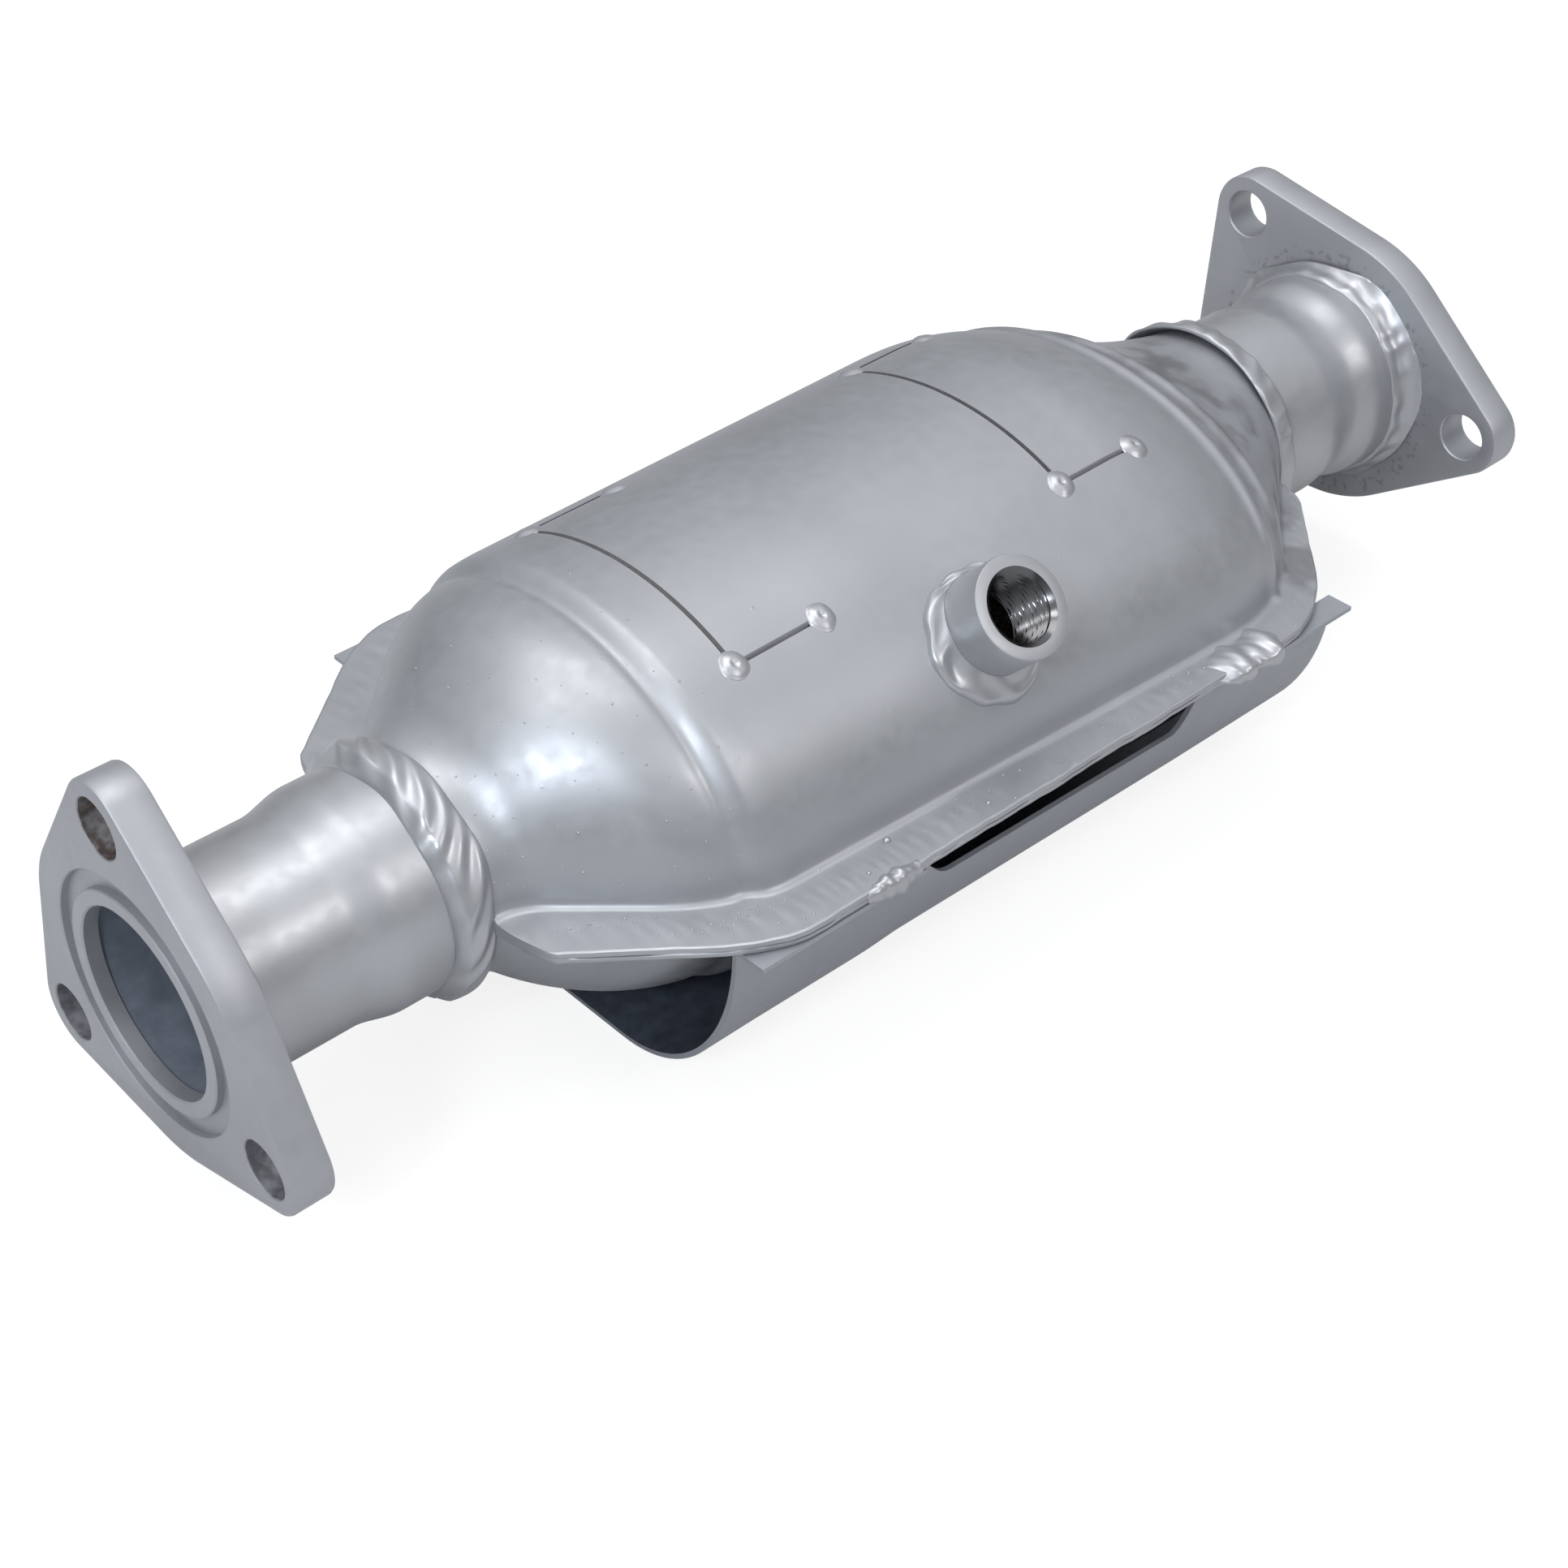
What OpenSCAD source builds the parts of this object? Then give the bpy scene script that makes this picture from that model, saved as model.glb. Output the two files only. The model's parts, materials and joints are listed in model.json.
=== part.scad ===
// Catalytic converter with a stamped two-half body, a flange at each end,
// a sensor bung and a heat shield under the body.
// The frame: the origin is the centre of the inlet flange's front face,
// +X runs along the inlet pipe towards the outlet, and the seam between
// the two body halves lies flat in the XY plane, with +Z up.

/* [Lengths along the pipe] */
// From the inlet flange's front face to the end of the body's front neck
inlet_reach = 62; // [56:1:70]
// Body from the end of one neck to the end of the other
body_length = 276; // [262:1:300]
// From the end of the rear neck to the outlet flange's outer face
outlet_reach = 62; // [58:1:72]

/* [Body] */
// Full width of the barrel just behind the front shoulder
body_width_front = 126; // [120:1:128]
// Full width of the barrel at its rear end
body_width_rear = 136; // [130:1:138]
// Full height of the barrel just behind the front shoulder
body_height_front = 99; // [94:1:101]
// Full height of the barrel at its rear end
body_height_rear = 103; // [98:1:105]
// Thickness of the stamped sheet
sheet = 1.5; // [1.2:0.1:1.8]
// Outer diameter of both body necks
neck_d = 58.4; // [57.6:0.2:60]
// Height of the rounded step between the front dome and the barrel
shoulder_step = 2; // [1:0.25:3]
// Full width over the seam flange
seam_width = 156; // [152:1:160]
// Height of the two raised rings pressed into the rear shoulder
ridge_height = 1.3; // [0.8:0.1:2]

/* [Locating slits in the upper half] */
// Full width of each slit across the body
slit_width = 72; // [60:1:76]
// Length of the two legs of each slit
slit_leg = 26; // [20:1:30]
// Gap cut by the saw
slit_gap = 1.2; // [0.8:0.1:1.5]
// Diameter of the round weld at each slit end
plug_d = 7.6; // [6:0.2:9]

/* [Pipes] */
// Outer diameter of the inlet pipe at its flange
inlet_pipe_d = 50.8; // [49.8:0.2:51.4]
// Outer diameter of the outlet pipe at its flange
outlet_pipe_d = 57.2; // [56:0.2:58.4]
// Outer diameter of the outlet pipe's waist
waist_d = 52.4; // [51.6:0.2:54]
// Wall of both pipes
pipe_wall = 1.9; // [1.5:0.1:2.2]
// Length of pipe that goes into each neck
pipe_insert = 12; // [8:1:16]
// Height of the outlet pipe's axis above the inlet pipe's axis
outlet_rise = 1.6; // [0:0.1:2]

/* [Flanges] */
// Thickness of both flanges
flange_t = 10; // [9:0.5:12]
// Radius of the round middle of both flanges
flange_web_r = 40; // [39:0.5:42]
// Radius of the rounded corner round each bolt hole
flange_corner_r = 11; // [10:0.5:12]
// Small bevel round both faces of the flanges
flange_bevel = 0.8; // [0.4:0.1:1.2]
// Radius of the inlet bolt circle
inlet_bolt_r = 44.4; // [43.5:0.1:46]
// Diameter of the inlet bolt holes
inlet_hole_d = 14; // [12:0.5:14.5]
// Turn of the inlet bolt holes from straight up
inlet_turn = 6.6; // [0:0.2:10]
// Radius of the outlet bolt circle
outlet_bolt_r = 48; // [47:0.5:50]
// Diameter of the outlet bolt holes
outlet_hole_d = 13.2; // [12:0.2:14]
// Angle from the outlet's single hole to each of the other two
outlet_spread = 136; // [130:1:140]
// Turn of the outlet's single hole below the horizontal
outlet_turn = 3; // [0:0.5:6]

/* [Inlet gasket seat] */
// Diameter of the round seat for the ring gasket
seat_d = 62.8; // [61:0.2:64]
// Depth of that seat
seat_depth = 2; // [1.5:0.25:3]
// Outer diameter of the raised ring inside the seat
ring_d = 53.6; // [52.6:0.2:55]
// Bore through the raised ring
ring_bore_d = 45.8; // [44:0.2:46.4]
// Depth of the ring's bore before the pipe's pocket starts
ring_depth = 4; // [3:0.5:5]

/* [Sensor bung] */
// Place of the bung along the body from the front neck
bung_place = 134; // [130:1:138]
// Tilt of the bung's axis above the horizontal
bung_tilt = 44.5; // [40:0.5:50]
// Outer diameter of the bung
bung_d = 25.2; // [24:0.2:26]
// Bore of the bung before threading
bung_bore_d = 16.5; // [16:0.1:17]
// Width of the countersunk mouth
bung_mouth_d = 18.8; // [18.2:0.1:19.4]
// Height of the bung's face over the body
bung_height = 14; // [11:0.5:16]

/* [Bricks] */
// Full width of the ceramic bricks
brick_width = 110; // [100:1:112]
// Full height of the ceramic bricks
brick_height = 85; // [76:1:87]
// Length of each brick
brick_length = 56; // [48:1:58]
// Gap between the two bricks, centred on the bung
brick_gap = 26; // [22:1:30]
// Pitch of the coarse channels that stand for the fine ones
channel_pitch = 8; // [7:0.5:10]
// Wall between channels
channel_wall = 1.4; // [1:0.1:2]

/* [Heat shield] */
// Front edge of the shield from the front neck
shield_place = 41; // [36:1:44]
// Length of the shield
shield_length = 200; // [190:1:210]
// Depth of the shield below the seam plane
shield_depth = 55; // [54.5:0.5:60]
// Air between the body's foot and the shield's side wall at the front
shield_air_front = 2.9; // [1.5:0.1:3.5]
// Air between the body's foot and the shield's side wall at the rear
shield_air_rear = 0.4; // [0.3:0.1:1.2]
// Thickness of the shield's sheet
shield_sheet = 1.2; // [0.8:0.1:1.4]
// Width of the flat floor of the shield at the front
floor_width_front = 58; // [52:1:70]
// Width of the flat floor of the shield behind the step
floor_width_rear = 54; // [50:1:66]
// Length of the open slot under the seam flange on each side
slot_length = 104; // [80:1:108]
// Depth of that slot
slot_depth = 16; // [8:0.5:20]
// Distance from the shield's front edge to the slot
slot_place = 49; // [45:1:56]

/* [Hidden] */

paint = [0.66, 0.68, 0.70];
bead = [0.72, 0.74, 0.76];
ceramic = [0.62, 0.58, 0.50];
fibre = [0.86, 0.84, 0.78];

// Clearances
seat_gap = 0.05;
mat_gap = 0.3;

body_x0 = inlet_reach;
body_x1 = inlet_reach + body_length;
overall = body_x1 + outlet_reach;
neck_r = neck_d / 2;
// Straight facets along each half arch of the body, and the pipe that clears them inside
arc_steps = 20;
neck_pipe_r = (neck_r - sheet) * cos(90 / arc_steps) - seat_gap;
bung_x = body_x0 + bung_place;
shield_x0 = body_x0 + shield_place;
shield_x1 = shield_x0 + shield_length;
// Places of the two slits, from the front neck and from the rear neck
front_slit_place = 71;
rear_slit_place = 101;
slit_x = [body_x0 + front_slit_place, body_x1 - rear_slit_place];

// Smooth minimum and maximum, which round the corner between two lines
function smin(u, v, k) = min(u, v) - pow(max(k - abs(u - v), 0) / k, 2) * k / 4;
function smax(u, v, k) = -smin(-u, -v, k);
function clamp01(s) = min(max(s, 0), 1);
function clamp_unit(s) = min(max(s, -1), 1);
function ease(s) = let (c = clamp01(s)) c * c * (3 - 2 * c);
function mix(u, v, s) = u + (v - u) * clamp01(s);
function bump(v, centre, spread) = exp(-pow((v - centre) / spread, 2));

// The body's form. fore and aft are distances from the two neck ends.
front_cone_start = 13;
front_cone_end = 51;
barrel_start = 56;
rear_cone_start = 76;
ridge_places = [49, 39];
ridge_spread = 2.6;
function fore(x) = x - body_x0;
function aft(x) = body_x1 - x;
function barrel_share(x) =
    (fore(x) - barrel_start) / (body_length - barrel_start - rear_cone_start);
step_run = 6;
function step_at(x) = shoulder_step * (1 - ease((fore(x) - front_cone_end) / step_run));
function ridges(x) = ridge_height * (bump(aft(x), ridge_places[0], ridge_spread)
    + bump(aft(x), ridge_places[1], ridge_spread));
function barrel(front, rear, x) = mix(front, rear, barrel_share(x)) / 2 - step_at(x);

// Slopes of the two cones in width and in height, and where the rear cone meets its neck
front_slope_w = 0.92;
front_slope_h = 1.0;
rear_slope_w = 0.84;
rear_slope_h = 0.47;
rear_neck_w = 4.7;
rear_neck_h = 22;
// How softly the cones turn into the barrel and into the necks
front_round_w = 12;
front_round_h = 14;
rear_round_w = 16;
rear_round_h = 8;
neck_round = 5;
function half_width(x) = smax(neck_r, smin(
    smin(neck_r + front_slope_w * (fore(x) - front_cone_start),
        barrel(body_width_front, body_width_rear, x), front_round_w),
    neck_r + rear_slope_w * (aft(x) - rear_neck_w), rear_round_w), neck_round) + ridges(x);
function half_height(x) = smax(neck_r, smin(
    smin(neck_r + front_slope_h * (fore(x) - front_cone_start),
        barrel(body_height_front, body_height_rear, x), front_round_h),
    neck_r + rear_slope_h * (aft(x) - rear_neck_h), rear_round_h), neck_round) + ridges(x);

// Height of the section's centre, which climbs over the rear cone to the outlet's axis
rise_run = 50;
function rise(x) = outlet_rise * ease((rear_cone_start - aft(x)) / rise_run);
// Half width of the oval at a height above the seam plane, for one body half
function oval_reach(x, z, way) =
    half_width(x) * cos(asin(clamp_unit((z - way * rise(x)) / half_height(x))));

// Reach of the seam flange from the middle plane. It starts short of the front neck's
// end, widens along the front cone, runs straight, and draws in along the rear cone.
// Both ends keep clear of the beads over the necks, which reach bead_reach to each side.
bead_reach = 5.6;
seam_start = bead_reach + 1;
seam_end = bead_reach + 0.6;
seam_nose = 44.5;
seam_nose_slope = 0.81;
seam_nose_round = 10;
seam_tail = 38;
seam_tail_round = 14;
no_seam = 0.02;
// Fillet between the body's wall and the seam flange
foot_fillet = 2.4;
foot_fillet_share = 0.4;
function has_seam(x) = fore(x) >= seam_start && aft(x) >= seam_end;
function seam_reach(x, z, way) = has_seam(x)
    ? smin(smin(seam_nose + seam_nose_slope * (fore(x) - seam_start),
        seam_width / 2, seam_nose_round),
        seam_tail + (aft(x) - seam_end), seam_tail_round)
    : oval_reach(x, z, way) + no_seam;

// Stations along the body, closer together where its form changes
shell_stations = concat(
    [for (u = [0, seam_start - 0.5, seam_start]) body_x0 + u],
    [for (u = [10 : 4 : 46]) body_x0 + u],
    [for (u = [50, 52.5, 55, 58, 62]) body_x0 + u],
    [bung_x],
    [for (v = [88, 76, 68, 60, 54, 49, 44, 39, 34, 28, 20, 12]) body_x1 - v],
    [for (v = [seam_end, seam_end - 0.5, 0]) body_x1 - v]
);

// Cross-section of one body half: an oval arch with a flange along each foot.
// way is +1 for the upper half and -1 for the lower, which is drawn upside down.
function arch(hw, hh, centre, z0) =
    let (first = asin(clamp_unit((z0 - centre) / hh)))
    [for (k = [0 : arc_steps])
        let (t = first + (180 - 2 * first) * k / arc_steps)
        [hw * cos(t), centre + hh * sin(t)]];
function foot(x, way) =
    let (
        low = seam_reach(x, 0, way),
        high = seam_reach(x, sheet, way),
        wall = oval_reach(x, sheet, way),
        fillet = min(foot_fillet, foot_fillet_share * (high - wall))
    )
    [[low, 0], [high, sheet], [wall + fillet, sheet],
        [wall + 0.25 * fillet, sheet + 0.3 * fillet]];
function half_section(x, way) =
    let (
        near = foot(x, way),
        fillet = near[2][0] - oval_reach(x, sheet, way),
        centre = way * rise(x),
        outer = arch(half_width(x), half_height(x), centre, sheet + fillet),
        inner = arch(half_width(x) - sheet, half_height(x) - sheet, centre, 0)
    )
    concat(near, outer, mirrored(near), back(inner));
function back(path) = [for (k = [len(path) - 1 : -1 : 0]) path[k]];
function mirrored(path) = [for (q = back(path)) [-q[0], q[1]]];

// Triangles that close one end of a section. A convex one is a fan from its first
// point. A thin one is a strip between its outer path and its inner path, which
// has as many points as the outer path less lead points at each end.
function fan(n) = [for (j = [1 : n - 2]) [0, j, j + 1]];
function strip(outer_n, inner_n) =
    let (lead = (outer_n - inner_n) / 2, last = outer_n + inner_n - 1)
    concat(
        [for (i = [0 : 1 : lead - 1]) [i, i + 1, last]],
        [for (k = [0 : inner_n - 2]) each [
            [lead + k, lead + k + 1, last - k - 1],
            [lead + k, last - k - 1, last - k]]],
        [for (i = [0 : 1 : lead - 1])
            [lead + inner_n - 1 + i, lead + inner_n + i, outer_n]]);

// Skin over a row of closed sections, each a list of [y, z] at its own x
module skin(xs, sections, cap) {
    n = len(sections[0]);
    rows = len(xs);
    points = [for (i = [0 : rows - 1]) for (q = sections[i]) [xs[i], q[0], q[1]]];
    sides = [for (i = [0 : rows - 2]) for (j = [0 : n - 1])
        let (k = (j + 1) % n)
        each [[i * n + j, (i + 1) * n + j, (i + 1) * n + k],
            [i * n + j, (i + 1) * n + k, i * n + k]]];
    far = (rows - 1) * n;
    back_cap = [for (f = cap) [far + f[2], far + f[1], far + f[0]]];
    polyhedron(points, concat(sides, cap, back_cap), convexity = 8);
}

// Lays a flat outline drawn in Y and Z, pulled along X from x0 to x1
module along_x(x0, x1) {
    translate([x0, 0, 0]) rotate([90, 0, 90]) linear_extrude(height = x1 - x0) children();
}
module turned_x(x0, x1, r, fn = 96) {
    translate([x0, 0, 0]) rotate([0, 90, 0]) cylinder(h = x1 - x0, r = r, $fn = fn);
}

// Point on the oval body at an angle of the section, and the bung's foot
function oval_point(x, t) = [x, -half_width(x) * cos(t), half_height(x) * sin(t)];
bung_t = atan(tan(bung_tilt) * half_height(bung_x) / half_width(bung_x));
bung_foot = oval_point(bung_x, bung_t);
module at_bung() {
    translate(bung_foot) rotate([90 - bung_tilt, 0, 0]) children();
}

module half_shell(way) {
    foot_points = 4;
    skin(shell_stations, [for (x = shell_stations) half_section(x, way)],
        strip(arc_steps + 1 + 2 * foot_points, arc_steps + 1));
}
module slit(x) {
    top = half_height(x) + 5;
    low = 0.5 * half_height(x);
    translate([x - slit_gap / 2, -slit_width / 2, low]) cube([slit_gap, slit_width, top]);
    for (side = [-1, 1])
        translate([x, side * slit_width / 2 - slit_gap / 2, low])
            cube([slit_leg, slit_gap, top]);
}
module upper_shell() {
    color(paint) difference() {
        half_shell(1);
        at_bung() translate([0, 0, -bung_height])
            cylinder(h = 2 * bung_height, r = bung_d / 2 + seat_gap, $fn = 64);
        for (x = slit_x) slit(x);
    }
}
module lower_shell() {
    color(paint) mirror([0, 0, 1]) half_shell(-1);
}

// The two pipes, each one turned wall whose radius follows its profile
function wall_of(profile) = concat(
    [for (q = profile) [q[1], q[0]]],
    [for (k = [len(profile) - 1 : -1 : 0]) [profile[k][1] - pipe_wall, profile[k][0]]]);
module pipe(profile) {
    rotate([90, 0, 90]) rotate_extrude($fn = 96) polygon(wall_of(profile));
}
// Radius along a smooth change from one diameter to the next
function blend_radius(x0, x1, r0, r1, steps) =
    [for (k = [0 : steps]) [x0 + (x1 - x0) * k / steps, r0 + (r1 - r0) * ease(k / steps)]];

flare_start = 24;
flare_end = 12;
inlet_profile = concat(
    [[ring_depth, inlet_pipe_d / 2]],
    blend_radius(inlet_reach - flare_start, inlet_reach - flare_end,
        inlet_pipe_d / 2, neck_pipe_r, 6),
    [[inlet_reach + pipe_insert, neck_pipe_r]]);
waist_place = 30;
waist_half = 10;
outlet_recess = 1.5;
outlet_profile = concat(
    [[body_x1 - pipe_insert, neck_pipe_r]],
    blend_radius(body_x1 + waist_place - waist_half, body_x1 + waist_place,
        neck_pipe_r, waist_d / 2, 6),
    blend_radius(body_x1 + waist_place + 1, body_x1 + waist_place + 1 + waist_half,
        waist_d / 2, outlet_pipe_d / 2, 6),
    [[overall - outlet_recess, outlet_pipe_d / 2]]);
module inlet_pipe() {
    color(paint) pipe(inlet_profile);
}
module outlet_pipe() {
    color(paint) outlet_side() pipe(outlet_profile);
}
// What lies on the outlet's axis
module outlet_side() {
    translate([0, 0, outlet_rise]) children();
}

// Flange plate: a round middle and three rounded corners, bevelled on both faces
module bevelled_disc(r) {
    cylinder(h = flange_t, r = r - flange_bevel, $fn = 48);
    translate([0, 0, flange_bevel]) cylinder(h = flange_t - 2 * flange_bevel, r = r, $fn = 48);
}
module flange_plate(bolt_r, angles) {
    rotate([90, 0, 90]) hull() {
        bevelled_disc(flange_web_r);
        for (a = angles)
            translate([bolt_r * cos(a), bolt_r * sin(a), 0]) bevelled_disc(flange_corner_r);
    }
}
module bolt_holes(bolt_r, angles, d) {
    for (a = angles)
        translate([-1, bolt_r * cos(a), bolt_r * sin(a)])
            rotate([0, 90, 0]) cylinder(h = flange_t + 2, d = d, $fn = 48);
}
inlet_angles = [for (k = [0 : 2]) 90 - inlet_turn + 120 * k];
outlet_apex = 180 + outlet_turn;
outlet_angles = [outlet_apex, outlet_apex + outlet_spread, outlet_apex - outlet_spread];
module inlet_flange() {
    color(paint) difference() {
        flange_plate(inlet_bolt_r, inlet_angles);
        bolt_holes(inlet_bolt_r, inlet_angles, inlet_hole_d);
        difference() {
            turned_x(-1, seat_depth, seat_d / 2);
            turned_x(-2, seat_depth + 1, ring_d / 2);
        }
        turned_x(-1, flange_t + 1, ring_bore_d / 2);
        turned_x(ring_depth, flange_t + 1, inlet_pipe_d / 2 + seat_gap);
    }
}
module outlet_flange() {
    color(paint) outlet_side() translate([overall - flange_t, 0, 0]) difference() {
        flange_plate(outlet_bolt_r, outlet_angles);
        bolt_holes(outlet_bolt_r, outlet_angles, outlet_hole_d);
        turned_x(-1, flange_t + 1, outlet_pipe_d / 2 + seat_gap);
    }
}

module sensor_bung() {
    sink = 3;
    color(paint) at_bung() difference() {
        translate([0, 0, -sink]) cylinder(h = sink + bung_height, d = bung_d, $fn = 64);
        translate([0, 0, -sink - 1]) cylinder(h = sink + bung_height + 2, d = bung_bore_d, $fn = 64);
        translate([0, 0, bung_height - (bung_mouth_d - bung_bore_d) / 2])
            cylinder(h = (bung_mouth_d - bung_bore_d) / 2 + 0.01,
                d1 = bung_bore_d, d2 = bung_mouth_d, $fn = 64);
    }
}

// Shield: a trough with a flat floor, oval corners and a lip along each side
shield_top = -sheet - seat_gap;
corner_steps = 10;
lip_reach = seam_width / 2;
// The side walls keep outside the body's foot and widen with the barrel
function shield_half(x) = foot_fillet + shield_sheet + mix(
    body_width_front / 2 + shield_air_front, body_width_rear / 2 + shield_air_rear, barrel_share(x));
// The flat floor narrows over a short step behind the front edge
step_start = 48;
step_end = 62;
function half_floor(x) = mix(floor_width_front, floor_width_rear,
    ease((x - shield_x0 - step_start) / (step_end - step_start))) / 2;
function trough(x, inset, top) = [for (k = [0 : corner_steps])
    let (t = 90 * k / corner_steps)
    [half_floor(x) + (shield_half(x) - half_floor(x) - inset) * cos(t),
        top - (shield_depth + top - inset) * sin(t)]];
function shield_section(x) =
    let (
        low = shield_top - shield_sheet,
        outside = concat([[lip_reach, low]], trough(x, 0, low)),
        inside = concat([[lip_reach, shield_top]], trough(x, shield_sheet, shield_top))
    )
    concat(mirrored(back(outside)), back(outside), inside, back(mirrored(back(inside))));
shield_stations = [shield_x0, body_x0 + barrel_start, shield_x0 + step_start,
    shield_x0 + (step_start + step_end) / 2, shield_x0 + step_end,
    body_x1 - rear_cone_start, shield_x1];
// The slot under the seam flange leans in at both ends, and more at its front
slot_lean_front = 18;
slot_lean_rear = 10;
slot_shoulder = 1.5;
module slot_outline() {
    s0 = shield_x0 + slot_place;
    s1 = s0 + slot_length;
    over = 1;
    polygon([[s0, over], [s0, shield_top - slot_shoulder],
        [s0 + slot_lean_front, shield_top - slot_depth],
        [s1 - slot_lean_rear, shield_top - slot_depth],
        [s1, shield_top - slot_shoulder], [s1, over]]);
}
module heat_shield() {
    slot_reach = seam_width / 4;
    color(paint) difference() {
        skin(shield_stations, [for (x = shield_stations) shield_section(x)],
            strip(2 * corner_steps + 4, 2 * corner_steps + 4));
        for (side = [-1, 1])
            translate([0, side * lip_reach + slot_reach / 2, 0])
                rotate([90, 0, 0]) linear_extrude(height = slot_reach) slot_outline();
    }
}

// Bricks with square channels, and the fibre mats round them
oval_steps = 64;
module oval(w, h) {
    polygon([for (k = [0 : oval_steps - 1])
        let (t = 360 * k / oval_steps) [w / 2 * cos(t), h / 2 * sin(t)]]);
}
module channels() {
    nx = floor(brick_width / 2 / channel_pitch);
    nz = floor(brick_height / 2 / channel_pitch);
    hole = channel_pitch - channel_wall;
    for (i = [-nx : nx]) for (j = [-nz : nz])
        let (y = i * channel_pitch, z = j * channel_pitch,
            cy = abs(y) + channel_pitch / 2 + 1, cz = abs(z) + channel_pitch / 2 + 1)
        if (pow(2 * cy / brick_width, 2) + pow(2 * cz / brick_height, 2) < 1)
            translate([y - hole / 2, z - hole / 2]) square(hole);
}
front_brick_x0 = bung_x - brick_gap / 2 - brick_length;
rear_brick_x0 = bung_x + brick_gap / 2;
module brick(x0) {
    along_x(x0, x0 + brick_length) difference() {
        oval(brick_width, brick_height);
        channels();
    }
}
// A mat fills the room between a brick and the body where the body is narrowest
module mat(x0) {
    x1 = x0 + brick_length;
    w = 2 * (min(half_width(x0), half_width(x1)) - sheet - mat_gap);
    h = 2 * (min(half_height(x0), half_height(x1)) - sheet - mat_gap);
    along_x(x0, x1) difference() {
        oval(w, h);
        oval(brick_width + 2 * seat_gap, brick_height + 2 * seat_gap);
    }
}
module front_brick() { color(ceramic) brick(front_brick_x0); }
module rear_brick() { color(ceramic) brick(rear_brick_x0); }
module front_mat() { color(fibre) mat(front_brick_x0); }
module rear_mat() { color(fibre) mat(rear_brick_x0); }

// Weld beads: a ring whose crown rises and falls as the torch moved round
ring_steps = 40;
fit_round = 1 / cos(180 / ring_steps);
ripple_counts = [13, 7];
ripple_heights = [0.35, 0.25];
function ripple(k, seed) = ripple_heights[0] * sin(360 * k * ripple_counts[0] / ring_steps + seed)
    + ripple_heights[1] * sin(360 * k * ripple_counts[1] / ring_steps + 2 * seed);
module weld_ring(profile, seed) {
    m = len(profile);
    points = [for (k = [0 : ring_steps - 1]) for (q = profile)
        let (t = 360 * k / ring_steps, r = q[1] * fit_round + q[2] * ripple(k, seed))
        [q[0], r * cos(t), r * sin(t)]];
    faces = [for (k = [0 : ring_steps - 1]) for (j = [0 : m - 1])
        let (a = k * m + j, b = k * m + (j + 1) % m,
            c = ((k + 1) % ring_steps) * m + (j + 1) % m, d = ((k + 1) % ring_steps) * m + j)
        each [[a, b, c], [a, c, d]]];
    polyhedron(points, faces, convexity = 6);
}
// Fillet in the corner between a flange's face at x0 and a pipe; way is +1 or -1
function fillet_profile(x0, way, r, leg) =
    let (
        side = x0 + way * seat_gap,
        low = r + seat_gap,
        path = [[side, low, 0], [side, low + leg, 0.6],
            [x0 + way * 0.35 * leg, r + 0.72 * leg, 1],
            [x0 + way * 0.75 * leg, r + 0.34 * leg, 1], [x0 + way * 1.1 * leg, low, 0]]
    )
    way > 0 ? path : back(path);
// Bead over the end of a neck and onto the pipe inside it; way points to the pipe's side
bead_crown = 3;
function neck_at(x) = max(half_width(x), half_height(x));
function neck_bead(x0, way) =
    let (
        pipe_r = neck_pipe_r + seat_gap,
        clear = no_seam + 2 * seat_gap,
        edge = x0 + way * seat_gap,
        tip = x0 - way * 0.95 * bead_reach,
        hip = x0 - way * 0.8 * bead_reach,
        path = [[edge, neck_at(x0) + clear, 0], [tip, neck_at(tip) + clear, 0],
            [hip, neck_at(hip) + 0.63 * bead_crown, 1],
            [x0 - way * 0.35 * bead_reach, neck_r + bead_crown, 1],
            [x0 + way * 0.25 * bead_reach, neck_r + bead_crown, 1],
            [x0 + way * 0.7 * bead_reach, neck_r + 0.4 * bead_crown, 1],
            [x0 + way * bead_reach, pipe_r, 0], [edge, pipe_r, 0]]
    )
    way > 0 ? path : back(path);
flange_leg_inlet = 5;
flange_leg_outlet = 6;
module inlet_flange_weld() {
    color(bead) weld_ring(fillet_profile(flange_t, 1, inlet_pipe_d / 2, flange_leg_inlet), 20);
}
module outlet_flange_weld() {
    color(bead) outlet_side()
        weld_ring(fillet_profile(overall - flange_t, -1, outlet_pipe_d / 2, flange_leg_outlet), 75);
}
module inlet_pipe_weld() { color(bead) weld_ring(neck_bead(body_x0, -1), 130); }
module outlet_pipe_weld() { color(bead) outlet_side() weld_ring(neck_bead(body_x1, 1), 200); }

// Bead round the bung's foot, which follows the oval body. Its points are dropped onto
// the body along the bung's own axis, so that its inner wall stays beside the bung.
bung_steps = 28;
bung_weld_lift = 0.15;
bung_weld_reach = 4.6;
bung_weld_height = 4.2;
bung_out = [0, -cos(bung_tilt), sin(bung_tilt)];
function on_body(p) =
    let (
        wide = half_width(p[0]) + bung_weld_lift,
        high = half_height(p[0]) + bung_weld_lift,
        a = pow(bung_out[1] / wide, 2) + pow(bung_out[2] / high, 2),
        b = p[1] * bung_out[1] / pow(wide, 2) + p[2] * bung_out[2] / pow(high, 2),
        c = pow(p[1] / wide, 2) + pow(p[2] / high, 2) - 1
    )
    p + (sqrt(b * b - a * c) - b) / a * bung_out;
function bung_circle(r, t) =
    bung_foot + [r * cos(t), -r * sin(t) * sin(bung_tilt), -r * sin(t) * cos(bung_tilt)];
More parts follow.
